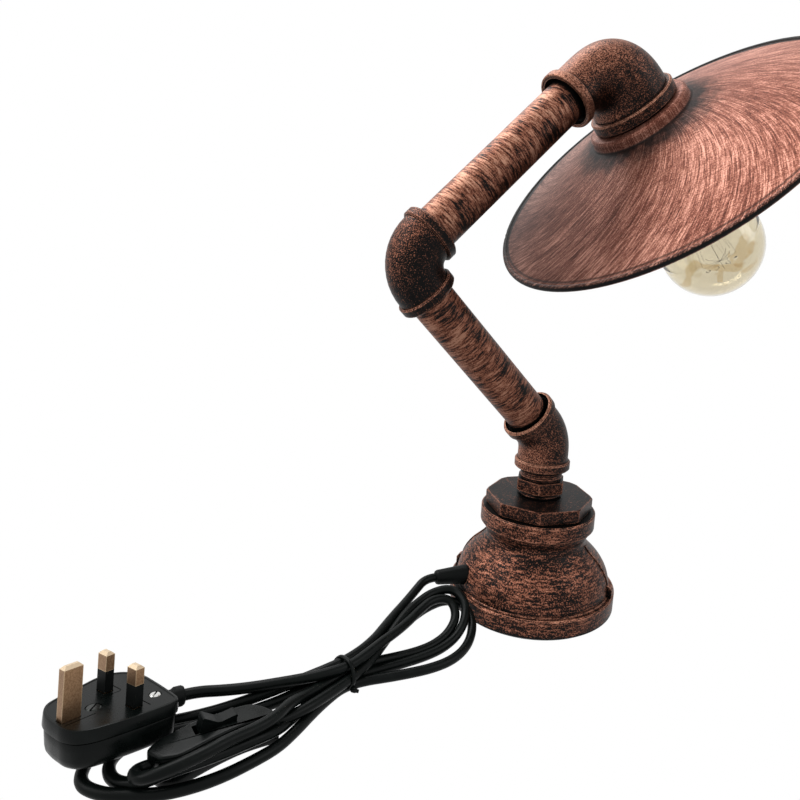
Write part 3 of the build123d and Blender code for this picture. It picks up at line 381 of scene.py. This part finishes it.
# ---------------------------------------------------------------- filament and its supports
S2 = math.sqrt(0.5)
D1 = Vector((-S2, 0, S2))
D2 = Vector((S2, 0, S2))
D3 = Vector((S2, 0, -S2))
C45 = Vector((0, 0, 0.1139))
C90 = C45 + D1 * 0.1522
CT = C90 + D2 * 0.1837
HEAD_Y = Vector((0, 1, 0))
HEAD_X = HEAD_Y.cross(D3)


def head(r, a, s):
    return CT + HEAD_X * (r * math.cos(a)) + HEAD_Y * (r * math.sin(a)) + D3 * s


N_F = 7
HUB = 0.1690
fb_m, sb_m = bmesh.new(), bmesh.new()
zig = []
for i in range(N_F):
    a0 = 2 * math.pi * i / N_F
    a1 = 2 * math.pi * (i + 0.5) / N_F
    zig.append(head(0.0085, a0, 0.121))
    if i < N_F - 1:
        zig.append(head(0.0130, a1, HUB - 0.0028))
    hook = [head(0.0032, a0, 0.1165), head(0.0062, a0, 0.1195), head(0.0086, a0, 0.1206)]
    tube(sb_m, hook, 0.00012, seg=6)
tube(sb_m, [head(0.0, 0.0, 0.1405), head(0.0, 0.0, 0.155), head(0.0, 0.0, HUB)], 0.00016, seg=6)
for i in range(10):
    a1 = 2 * math.pi * (i + 0.5) / 10
    far = 0.0135 if i % 2 == 0 else 0.0100
    tube(sb_m, [head(0.0001, a1, HUB), head(0.45 * far, a1, HUB - 0.0004), head(0.85 * far, a1, HUB - 0.0012), head(far, a1, HUB - 0.0030)],
         0.00014, seg=6)
for p, q in zip(zig[:-1], zig[1:]):
    tube(fb_m, [p, p.lerp(q, 0.5), q], 0.00005, seg=6)
fil = link_mesh("filament_wire", fb_m)
sup = link_mesh("filament_hooks", sb_m)
for ob, node in ((fil, "bulb_filament"), (sup, "filament_supports")):
    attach(ob, "bulb")
    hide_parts(node)

top_band = ring_band("top_elbow_band", CT, -D2, 0.0358, 0.0411, 0.0186, 0.0005, "head")

# ---------------------------------------------------------------- materials


class Mat:
    """A small builder for node materials."""

    def __init__(self, name):
        self.m = bpy.data.materials.new(name)
        self.m.use_nodes = True
        self.nt = self.m.node_tree
        self.b = self.nt.nodes["Principled BSDF"]
        self._pos = None

    def node(self, kind, **kw):
        n = self.nt.nodes.new(kind)
        for k, v in kw.items():
            setattr(n, k, v)
        return n

    def put(self, socket, v):
        if hasattr(v, "is_output"):
            self.nt.links.new(v, socket)
        else:
            socket.default_value = v

    def set(self, **kw):
        for k, v in kw.items():
            self.put(self.b.inputs[k.replace("_", " ")], v)

    def pos(self):
        if self._pos is None:
            self._pos = self.node("ShaderNodeTexCoord").outputs["Object"]
        return self._pos

    def math(self, op, a, b=0.0, c=0.0, clamp=False):
        n = self.node("ShaderNodeMath", operation=op, use_clamp=clamp)
        self.put(n.inputs[0], a)
        self.put(n.inputs[1], b)
        self.put(n.inputs[2], c)
        return n.outputs[0]

    def vmath(self, op, a, b=None):
        n = self.node("ShaderNodeVectorMath", operation=op)
        self.put(n.inputs[0], a)
        if b is not None:
            if op == "SCALE":
                self.put(n.inputs[3], b)
            else:
                self.put(n.inputs[1], b)
        return n.outputs["Value"] if op in ("DOT_PRODUCT", "LENGTH", "DISTANCE") else n.outputs["Vector"]

    def xyz(self, x, y, z):
        n = self.node("ShaderNodeCombineXYZ")
        for s, v in zip(n.inputs, (x, y, z)):
            self.put(s, v)
        return n.outputs[0]

    def sep(self, v):
        n = self.node("ShaderNodeSeparateXYZ")
        self.put(n.inputs[0], v)
        return n.outputs

    def frame(self, origin, ax, ay, az):
        """Position in a frame given by its origin and axes."""
        d = self.vmath("SUBTRACT", self.pos(), tuple(origin))
        return self.xyz(*[self.vmath("DOT_PRODUCT", d, tuple(a)) for a in (ax, ay, az)])

    def scaled(self, v, s):
        return self.vmath("MULTIPLY", v, tuple(s))

    def noise(self, v, scale, detail=3.0, rough=0.55, dist=0.0):
        n = self.node("ShaderNodeTexNoise")
        self.put(n.inputs["Vector"], v)
        n.inputs["Scale"].default_value = scale
        n.inputs["Detail"].default_value = detail
        n.inputs["Roughness"].default_value = rough
        n.inputs["Distortion"].default_value = dist
        return n.outputs["Fac"]

    def ramp(self, v, a, b, lo=0.0, hi=1.0, smooth=True):
        n = self.node("ShaderNodeMapRange", interpolation_type="SMOOTHSTEP" if smooth else "LINEAR")
        self.put(n.inputs["Value"], v)
        n.inputs["From Min"].default_value = a
        n.inputs["From Max"].default_value = b
        n.inputs["To Min"].default_value = lo
        n.inputs["To Max"].default_value = hi
        return n.outputs["Result"]

    def mix(self, f, a, b):
        n = self.node("ShaderNodeMix", data_type="RGBA")
        self.put(n.inputs[0], f)
        for s, v in ((n.inputs[6], a), (n.inputs[7], b)):
            self.put(s, v if hasattr(v, "is_output") else (v[0], v[1], v[2], 1.0))
        return n.outputs[2]

    def bump(self, h, strength, dist, normal=None):
        n = self.node("ShaderNodeBump")
        n.inputs["Strength"].default_value = strength
        n.inputs["Distance"].default_value = dist
        self.put(n.inputs["Height"], h)
        if normal is not None:
            self.put(n.inputs["Normal"], normal)
        return n.outputs[0]

    def edges(self, radius, gain):
        """1 along sharp edges, from the bevelled normal against the true one."""
        bv = self.node("ShaderNodeBevel", samples=6)
        bv.inputs["Radius"].default_value = radius
        g = self.node("ShaderNodeNewGeometry")
        d = self.vmath("DOT_PRODUCT", bv.outputs[0], g.outputs["Normal"])
        return self.math("MULTIPLY", self.math("SUBTRACT", 1.0, d), gain, clamp=True)

    def up(self, axis=(0, 0, 1)):
        g = self.node("ShaderNodeTexCoord")
        return self.vmath("DOT_PRODUCT", g.outputs["Normal"], tuple(axis))


def put_on(nodes, mat):
    for n in nodes:
        ob = NODES[n] if isinstance(n, str) else n
        if not ob.material_slots:
            ob.data.materials.append(mat)
        for s in ob.material_slots:
            s.material = mat


BLACK = (0.0022, 0.0019, 0.0018)
RUST = (0.112, 0.036, 0.021)
COPPER = (0.32, 0.124, 0.076)
PALE = (0.66, 0.38, 0.26)


def copper_black(name, coords, speck=1400.0, streak=(1, 1, 1), cover=0.5, patch=38.0, edge=(0.0011, 9.0), extra=None, pale=0.25, rough=0.42,
                 streak_mix=0.5, soft=0.06, blotch=0.16, recess=0.5, reach=0.007, patchy=0.10):
    """Black enamel dry-brushed with copper: speckle, streaks along the brush's way, bright worn edges, black in the
    recesses (the base coat the brush misses, darkened further by painted shade from an ambient-occlusion ramp), pale
    copper where the value runs high (partly painted highlight), and painted light that scales the colour down on faces
    turned away from the upper left.
    """
    M = Mat(name)
    P = coords(M)
    fine = M.noise(P, speck, 2.5, 0.66)
    st = M.noise(M.scaled(P, streak), speck * 0.62, 4.0, 0.62)
    mid = M.noise(M.scaled(P, [0.5 + 0.5 * s for s in streak]), speck * 0.13, 3.0, 0.6)
    big = M.noise(P, patch, 2.0, 0.5)
    v = M.math("ADD", M.math("MULTIPLY", fine, 1.0 - streak_mix), M.math("MULTIPLY", st, streak_mix))
    v = M.math("ADD", v, M.math("MULTIPLY", M.math("SUBTRACT", mid, 0.5), blotch))
    v = M.math("ADD", v, M.math("MULTIPLY", M.math("SUBTRACT", big, 0.5), patchy))
    if extra is not None:
        v = M.math("ADD", v, extra(M))
    if edge:
        v = M.math("ADD", v, M.math("MULTIPLY", M.edges(*edge), 0.20))
    # painted shade: an ambient-occlusion ramp pushes the recesses towards black, on top of the base coat left there
    if recess:
        ao = M.node("ShaderNodeAmbientOcclusion", samples=8)
        ao.inputs["Distance"].default_value = reach
        hid = M.ramp(ao.outputs["AO"], 0.35, 0.80, 1.0, 0.0)
        v = M.math("SUBTRACT", v, M.math("MULTIPLY", hid, recess))
    mid_v = 0.5 - (cover - 0.5) * 0.5
    mask = M.ramp(v, mid_v - soft, mid_v + soft)
    tone = M.ramp(M.math("ADD", M.math("MULTIPLY", st, 0.6), M.math("MULTIPLY", fine, 0.4)), 0.38, 0.64)
    col = M.mix(tone, RUST, COPPER)
    # pale copper where the value is high: partly the finish's paler copper, partly painted highlight from the
    # light-facing terms
    hi = M.ramp(v, mid_v + 0.05, mid_v + 0.20, 0.0, pale)
    col = M.mix(hi, col, PALE)
    col = M.mix(mask, BLACK, col)
    # painted light: colour scaled down on faces turned away from the upper left
    painted_light_scale = M.ramp(M.up((-0.738, 0.054, 0.674)), -0.75, 0.95, 0.34, 1.0)
    col = M.vmath("SCALE", col, painted_light_scale)
    M.set(Base_Color=col, Metallic=M.math("MULTIPLY", mask, 0.50), Roughness=M.ramp(mask, 0.0, 1.0, rough - 0.04, rough + 0.06),
          Normal=M.bump(M.math("ADD", M.math("MULTIPLY", v, 0.7), M.math("MULTIPLY", fine, 0.3)), 0.35, 0.00020))
    M.b.inputs["Specular IOR Level"].default_value = 0.08
    return M.m


def plain(M):
    return M.pos()


def lower_axis(M):
    return M.frame(C45, (0, 1, 0), D2, D1)


def upper_axis(M):
    return M.frame(C90, (0, 1, 0), D1, D2)


TOP_RING = 0.0377


def base_bands(M):
    z = M.sep(M.pos())[2]
    neck = M.math("MULTIPLY", M.ramp(z, 0.0355, 0.0425), M.math("SUBTRACT", 1.0, M.ramp(z, 0.0505, 0.054)))
    a = M.math("MULTIPLY", neck, -0.03)
    a = M.math("ADD", a, M.math("MULTIPLY", M.ramp(z, 0.0638, 0.0644), -0.03))
    flat = M.vmath("LENGTH", M.vmath("MULTIPLY", M.pos(), (1.0, 1.0, 0.0)))
    # painted shade: black in the well between the top ring and the bush
    well = M.math("MULTIPLY", M.ramp(z, 0.0560, 0.0580), M.math("SUBTRACT", 1.0, M.ramp(flat, TOP_RING - 0.0022, TOP_RING - 0.0012)))
    a = M.math("SUBTRACT", a, M.math("MULTIPLY", well, 0.6))
    # painted contact shadow: black along the bottom edge, where the base meets the floor
    a = M.math("SUBTRACT", a, M.math("MULTIPLY", M.ramp(z, 0.0028, 0.0016), 0.6))
    return M.math("ADD", a, M.math("MULTIPLY", M.math("SUBTRACT", M.noise(M.scaled(M.pos(), (0.25, 0.25, 1.6)), 190.0, 3.0, 0.6), 0.5), 0.09))


# painted light: more copper on the faces turned toward the given light direction
def painted_light_toward(axis, a, b, gain):
    return lambda M: M.math("MULTIPLY", M.ramp(M.up(axis), a, b), gain)


# less copper on the upward faces of the bush
def bush_top_less_copper(M):
    return M.math("MULTIPLY", M.ramp(M.up(), 0.6, 0.95), -0.06)


# direction of the painted light: from the upper left
LIGHT_FROM_LEFT_UP = (-0.738, 0.054, 0.674)
cast_base = copper_black("cast_base", plain, speck=1150, streak=(0.22, 0.22, 1.35), cover=0.46, patch=30, edge=(0.0010, 9.0),
                         extra=base_bands, pale=0.5, streak_mix=0.40, soft=0.045, blotch=0.11)
cast_bush = copper_black("cast_bush", plain, speck=1500, streak=(0.6, 0.6, 1.0), cover=0.38, patch=60, edge=(0.0015, 12.0),
                         extra=bush_top_less_copper, pale=0.2, streak_mix=0.3)


def elbow_light_and_groove(M):
    # painted light: more copper on faces turned toward the upper left; below, a dark groove line behind the top elbow's
    # band
    a = M.math("MULTIPLY", M.ramp(M.up(LIGHT_FROM_LEFT_UP), -0.4, 0.95), 0.11)
    s = M.vmath("DOT_PRODUCT", M.vmath("SUBTRACT", M.pos(), tuple(CT)), tuple(-D2))
    line = M.math("SUBTRACT", 1.0, M.ramp(M.math("ABSOLUTE", M.math("SUBTRACT", s, 0.0352)), 0.0004, 0.0016))
    return M.math("SUBTRACT", a, M.math("MULTIPLY", line, 0.35))


cast_elbow = copper_black("cast_elbow", plain, speck=1600, streak=(0.9, 0.9, 1.1), cover=0.34, patch=45, edge=(0.0012, 13.0),
                          extra=elbow_light_and_groove, pale=0.5, streak_mix=0.2, soft=0.05, blotch=0.20)
cast_band = copper_black("cast_band", plain, speck=1500, streak=(0.8, 0.8, 1.1), cover=0.62, patch=45, edge=(0.0010, 9.0),
                         pale=0.5, streak_mix=0.2, soft=0.06, recess=0.0)
cast_dark = copper_black("cast_dark_elbow", plain, speck=1600, streak=(0.9, 0.9, 1.1), cover=0.25, patch=45, edge=(0.0012, 14.0),
                         extra=painted_light_toward(LIGHT_FROM_LEFT_UP, 0.0, 0.95, 0.09), pale=0.3, streak_mix=0.2, soft=0.05)
pipe_low = copper_black("pipe_low", lower_axis, speck=1300, streak=(0.16, 0.16, 1.30), cover=0.42, patch=60, edge=None, pale=0.35,
                        extra=painted_light_toward((-0.70, -0.25, 0.40), -0.6, 0.9, 0.12), streak_mix=0.70, soft=0.065, blotch=0.24, recess=0.4, patchy=0.42)
pipe_up = copper_black("pipe_up", upper_axis, speck=1300, streak=(0.16, 0.16, 1.30), cover=0.38, patch=60, edge=None, pale=0.55,
                       extra=painted_light_toward((-0.60, -0.45, 0.55), -0.5, 0.95, 0.13), streak_mix=0.70, soft=0.065, blotch=0.24, recess=0.4, patchy=0.46)

put_on(["base_reducer"], cast_base)
put_on(["octagon_bush", "hex_nipple", TH_TOP, TH_LOW], cast_bush)
put_on(["elbow_45", "top_elbow"], cast_elbow)
put_on([top_band], cast_band)
put_on(["elbow_90"], cast_dark)
put_on(["lower_pipe"], pipe_low)
put_on(["upper_pipe"], pipe_up)


def shade_material():
    M = Mat("shade_brushed_copper")
    Y = Vector((0, 1, 0))
    X = Y.cross(D3)
    L = M.frame(CT, X, Y, D3)
    x, y, s = M.sep(L)
    r = M.math("SQRT", M.math("ADD", M.math("MULTIPLY", x, x), M.math("MULTIPLY", y, y)))
    n = M.node("ShaderNodeVectorRotate", rotation_type="Z_AXIS")
    M.put(n.inputs["Vector"], M.vmath("NORMALIZE", M.xyz(x, y, 0.0)))
    M.put(n.inputs["Angle"], M.math("MULTIPLY", r, -9.0))
    swirl = M.vmath("ADD", M.vmath("SCALE", n.outputs[0], 88.0), M.xyz(0.0, 0.0, M.math("MULTIPLY", r, 90.0)))
    st = M.noise(swirl, 1.0, 6.0, 0.68, 0.15)
    st2 = M.noise(M.vmath("SCALE", swirl, 0.23), 1.0, 3.0, 0.55, 0.3)
    # long straight wipes over the swirl
    u = M.math("ADD", M.math("MULTIPLY", x, 0.82), M.math("MULTIPLY", y, 0.57))
    w = M.math("SUBTRACT", M.math("MULTIPLY", y, 0.82), M.math("MULTIPLY", x, 0.57))
    wipe = M.noise(M.xyz(M.math("MULTIPLY", u, 46.0), M.math("MULTIPLY", w, 900.0), s), 1.0, 4.0, 0.62, 0.4)
    speck = M.noise(L, 1500.0, 2.0, 0.6)
    big = M.noise(L, 17.0, 2.0, 0.5, 0.6)
    v = M.math("ADD", M.math("MULTIPLY", st, 0.55), M.math("MULTIPLY", wipe, 0.15))
    v = M.math("ADD", v, M.math("MULTIPLY", speck, 0.30))
    v = M.math("ADD", v, M.math("MULTIPLY", M.math("SUBTRACT", st2, 0.5), 0.12))
    v = M.math("ADD", v, M.math("MULTIPLY", M.math("SUBTRACT", big, 0.5), 0.14))
    dark = (0.050, 0.015, 0.010)
    midc = (0.170, 0.056, 0.036)
    high = (0.56, 0.280, 0.208)
    col = M.mix(M.ramp(v, 0.39, 0.51), dark, midc)
    col = M.mix(M.ramp(v, 0.48, 0.63), col, high)
    # painted light: the shade's colour scaled from dark on its left to bright on its right, along the camera's right
    side = M.vmath("DOT_PRODUCT", M.vmath("SUBTRACT", M.pos(), tuple(CT)), (0.8742, -0.4802, 0.0717))
    far = M.math("POWER", M.ramp(side, -0.11, 0.09, 0.0, 1.0, smooth=False), 2.0)
    col = M.vmath("SCALE", col, M.math("ADD", 0.31, M.math("MULTIPLY", far, 1.10)))
    d = M.math("SUBTRACT", M.math("MULTIPLY", y, 0.86), M.math("MULTIPLY", x, 0.50))
    # dark ring round the foot of the collar (painted shade in the crease), the groove inside the bead and the black
    # bead
    halo = M.math("SUBTRACT", 1.0, M.ramp(M.math("ADD", r, M.math("MULTIPLY", M.math("SUBTRACT", M.noise(L, 150.0, 4.0, 0.6), 0.5), 0.026)),
                                          0.0345, 0.0560))
    inside = M.ramp(r, 0.0335, 0.0345)
    halo = M.math("MULTIPLY", M.math("MULTIPLY", halo, inside), 0.95)
    col = M.mix(halo, col, (0.004, 0.004, 0.004))
    g = M.math("ABSOLUTE", M.math("SUBTRACT", r, 0.1216))
    groove = M.math("SUBTRACT", 1.0, M.ramp(g, 0.0002, 0.0012))
    col = M.mix(M.math("MULTIPLY", groove, 0.72), col, (0.012, 0.007, 0.006))
    # black band inside the bead, widened on the far side: the bead's black paint and painted shade on its inner flank
    off = M.ramp(d, 0.02, 0.085)
    band = M.math("MULTIPLY", M.math("MULTIPLY", M.ramp(M.math("ADD", r, M.math("MULTIPLY", off, 0.0085)), 0.1205, 0.1215), M.ramp(d, -0.025, 0.020)), 0.96)
    lip = M.math("MULTIPLY", M.ramp(r, 0.1250, 0.1256), M.ramp(d, 0.075, 0.02))
    band = M.math("MULTIPLY", band, M.math("SUBTRACT", 1.0, M.math("MULTIPLY", lip, 0.75)))
    col = M.mix(band, col, (0.003, 0.003, 0.003))
    rim = M.ramp(r, 0.1232, 0.1240)
    up = M.up(tuple(-D3))
    speckle = M.ramp(M.math("ADD", M.math("MULTIPLY", speck, 0.5), M.math("MULTIPLY", st, 0.5)), 0.46, 0.60)
    near = M.ramp(d, 0.060, 0.0)
    keep = M.math("MULTIPLY", M.math("MULTIPLY", M.ramp(up, 0.50, 0.98), M.ramp(speckle, 0.0, 1.0, 0.25, 0.9)), near)
    black = M.math("MULTIPLY", rim, M.math("SUBTRACT", 1.0, keep))
    col = M.mix(black, col, (0.003, 0.003, 0.003))
    under = M.ramp(M.up(tuple(D3)), 0.2, 0.6)
    col = M.mix(under, col, M.mix(M.ramp(v, 0.40, 0.62), (0.02, 0.012, 0.01), (0.22, 0.09, 0.06)))
    metal = M.math("MULTIPLY", M.math("SUBTRACT", 1.0, M.math("MAXIMUM", M.math("MAXIMUM", halo, band), black)), 0.50)
    M.set(Base_Color=col, Metallic=metal, Roughness=M.ramp(v, 0.35, 0.65, 0.52, 0.42),
          Normal=M.bump(M.math("ADD", v, M.math("MULTIPLY", groove, -0.8)), 0.30, 0.00018))
    M.b.inputs["Specular IOR Level"].default_value = 0.08
    return M.m


put_on(["shade"], shade_material())


def moulding(name, col, rough=0.42, grain=1400.0, amount=0.12, tint=(0.006, 0.008, 0.0075), spec=0.14):
    M = Mat(name)
    g = M.noise(M.pos(), grain, 2.0, 0.6)
    s = M.noise(M.pos(), 130.0, 4.0, 0.6)
    M.set(Base_Color=M.mix(M.ramp(s, 0.45, 0.75, 0.0, 0.6), col, tint), Roughness=M.ramp(s, 0.3, 0.7, rough - 0.06, rough + 0.08),
          Normal=M.bump(g, amount, 0.00008))
    M.b.inputs["Specular IOR Level"].default_value = spec
    return M.m


black_plastic = moulding("black_moulded", (0.0012, 0.0020, 0.0018), 0.28, tint=(0.0030, 0.0045, 0.0042), spec=0.10)
rocker_black = moulding("rocker_moulded", (0.0016, 0.0024, 0.0023), 0.34, tint=(0.0030, 0.0045, 0.0042), spec=0.10)
sheath = moulding("black_sheath", (0.0012, 0.0020, 0.0018), 0.34, 900.0, 0.08, (0.0030, 0.0046, 0.0042), spec=0.085)
rubber = moulding("gland_rubber", (0.0014, 0.0020, 0.0019), 0.45, 1100.0, 0.2, (0.0034, 0.0046, 0.0044), spec=0.08)
pad_felt = moulding("pad_foam", (0.004, 0.004, 0.004), 0.85, 1500.0, 0.5, (0.008, 0.008, 0.008), spec=0.05)
put_on([plug_face, plug_back, sw_top, sw_bottom, "plug_base", "plug_cover", "switch_lower_case", "switch_upper_case", "switch_carrier"],
       black_plastic)
put_on(["switch_rocker"], rocker_black)
put_on([mains, lead, tie, "flex_in_base", "flex_in_lower_pipe", "flex_in_upper_pipe", "flex_in_head", "cord_from_gland", "cord_hank",
        "cord_to_plug", "hank_tie"], sheath)
put_on(["cord_gland", "gland_locknut", "plug_strain_relief", "plug_pin_sleeves"], rubber)
put_on(["base_pad"], pad_felt)


def metal(name, col, dark, rough=0.3, scale=240.0, met=1.0):
    M = Mat(name)
    a = M.noise(M.pos(), scale, 4.0, 0.6)
    f = M.noise(M.scaled(M.pos(), (1.0, 1.0, 0.12)), 2600.0, 2.0, 0.5)
    M.set(Base_Color=M.mix(M.ramp(a, 0.42, 0.72), col, dark), Metallic=met, Roughness=M.ramp(a, 0.3, 0.7, rough, rough + 0.14),
          Normal=M.bump(f, 0.12, 0.00006))
    return M.m


brass = metal("brass", (0.48, 0.34, 0.20), (0.40, 0.28, 0.165), 0.30, 120.0)


def pin_metal():
    M = Mat("pin_brass")
    a = M.noise(M.pos(), 1500.0, 2.0, 0.7)
    # painted glint: bright colour along the pins' edges
    e = M.edges(0.0006, 9.0)
    col = M.mix(M.ramp(a, 0.35, 0.68), (0.30, 0.185, 0.105), (0.20, 0.115, 0.062))
    col = M.mix(M.math("MULTIPLY", e, 0.8), col, (0.62, 0.46, 0.29))
    # painted highlight: the faces turned toward the pins' tips are coloured lighter
    top = M.ramp(M.up(PLUG_Z), 0.45, 0.75)
    col = M.mix(top, col, (0.66, 0.52, 0.36))
    M.set(Base_Color=col, Metallic=1.0, Roughness=0.34, Normal=M.bump(a, 0.10, 0.00005))
    return M.m


def screw_metal():
    M = Mat("screw_zinc")
    # painted shade: the middle screw, sunk in its recess, is coloured dark
    d = M.vmath("DISTANCE", M.pos(), tuple(PLUG_AT(-10.3, 0.8, -0.5)))
    col = M.mix(M.ramp(d, 0.006, 0.009), (0.035, 0.038, 0.036), (0.66, 0.66, 0.64))
    M.set(Base_Color=col, Metallic=1.0, Roughness=0.26, Normal=M.bump(M.noise(M.pos(), 1200.0, 2.0), 0.1, 0.00006))
    return M.m


steel = metal("plain_steel", (0.52, 0.51, 0.49), (0.30, 0.29, 0.28), 0.34)
nickel = metal("nickel", (0.62, 0.60, 0.56), (0.40, 0.38, 0.35), 0.26)
put_on(["plug_pin_earth", "plug_pins_live_neutral"], pin_metal())
put_on(["plug_screws"], screw_metal())
put_on(["lampholder_screw_shell", "lampholder_centre_contact", "switch_contacts",
        "terminal_screws"], brass)
put_on(["base_plate", "mouth_plate", "holder_nipple", "nipple_nut"], steel)
put_on(["switch_screws", "plug_fuse_clips"], steel)
put_on(["bulb_cap", "bulb_contact"], nickel)
put_on(["lampholder_cap", "lampholder_skirt"], black_plastic)


def ceramic(name, col):
    M = Mat(name)
    a = M.noise(M.pos(), 160.0, 3.0, 0.5)
    M.set(Base_Color=M.mix(M.ramp(a, 0.4, 0.7), col, tuple(c * 0.8 for c in col)), Roughness=0.32, Normal=M.bump(a, 0.05, 0.0001))
    return M.m


put_on(["lampholder_terminal_block", "plug_fuse"], ceramic("porcelain", (0.72, 0.69, 0.62)))
put_on(["bulb_cap_insulator"], ceramic("dark_glass", (0.03, 0.028, 0.03)))
put_on(["core_live"], moulding("core_brown", (0.10, 0.045, 0.02), 0.4, 900, 0.05, (0.14, 0.07, 0.035)))
put_on(["core_neutral"], moulding("core_blue", (0.02, 0.08, 0.30), 0.4, 900, 0.05, (0.04, 0.11, 0.36)))
put_on(["core_earth"], moulding("core_green", (0.10, 0.28, 0.04), 0.4, 900, 0.05, (0.40, 0.38, 0.05)))


def glass(name, tint, rough=0.02, ior=1.45, wobble=0.04, painted_reflection=None):
    M = Mat(name)
    a = M.noise(M.pos(), 45.0, 2.0, 0.5)
    col = M.mix(M.ramp(a, 0.35, 0.7), tint, tuple(t * 0.93 for t in tint))
    # painted reflection: brown patches in the glass colour standing in for reflections
    if painted_reflection is not None:
        col = M.mix(M.ramp(M.noise(M.pos(), 33.0, 1.5, 0.5, 1.2), 0.575, 0.625, 0.0, 0.85), col, painted_reflection)
    M.set(Base_Color=col, Roughness=rough, IOR=ior,
          Transmission_Weight=1.0, Normal=M.bump(a, wobble, 0.0006))
    return M.m


put_on(["bulb_glass"], glass("amber_glass", (0.81, 0.755, 0.625), 0.02, painted_reflection=(0.66, 0.54, 0.34)))
put_on(["bulb_stem"], glass("clear_glass", (0.95, 0.93, 0.86), 0.02))
wire = metal("filament_wire", (0.10, 0.075, 0.05), (0.05, 0.04, 0.03), 0.4)
put_on([fil, sup, "bulb_filament", "filament_supports"], wire)

# ---------------------------------------------------------------- stage
me = bpy.data.meshes.new("floor")
S = 1.5
me.from_pydata([(-S, -S, 0), (S, -S, 0), (S, S, 0), (-S, S, 0)], [], [(0, 1, 2, 3)])
floor = bpy.data.objects.new("floor", me)
scene.collection.objects.link(floor)
fm = bpy.data.materials.new("floor_white")
fm.use_nodes = True
fb = fm.node_tree.nodes["Principled BSDF"]
fb.inputs["Base Color"].default_value = (0.0, 0.0, 0.0, 1)
fb.inputs["Specular IOR Level"].default_value = 0.0
fb.inputs["Emission Color"].default_value = (1, 1, 1, 1)
fb.inputs["Emission Strength"].default_value = 1.0
me.materials.append(fm)

w = bpy.data.worlds.new("studio")
scene.world = w
w.use_nodes = True
w.node_tree.nodes["Background"].inputs[0].default_value = (1, 1, 1, 1)
w.node_tree.nodes["Background"].inputs[1].default_value = 1.0


def softbox(name, where, target, size, radiance, color=(1, 1, 1)):
    d = bpy.data.lights.new(name, "AREA")
    d.shape = "RECTANGLE"
    d.size, d.size_y = size
    d.energy = radiance * math.pi * size[0] * size[1]
    d.color = color
    o = bpy.data.objects.new(name, d)
    o.location = where
    o.rotation_euler = (Vector(target) - Vector(where)).to_track_quat("-Z", "Y").to_euler()
    scene.collection.objects.link(o)
    return o


AIM = Vector((-0.02, 0.0, 0.22))
softbox("top_back", AIM + Vector((-0.25, 0.62, 1.05)), AIM, (1.1, 0.9), 5.0)
softbox("left_front", AIM - CAM_R * 1.1 - CAM_F * 0.45 + Vector((0, 0, 0.75)), AIM, (0.7, 0.9), 3.2)
softbox("right_front", AIM + CAM_R * 1.2 - CAM_F * 0.35 + Vector((0, 0, 0.55)), AIM, (0.6, 0.9), 2.4)

scene.view_settings.view_transform = "Standard"
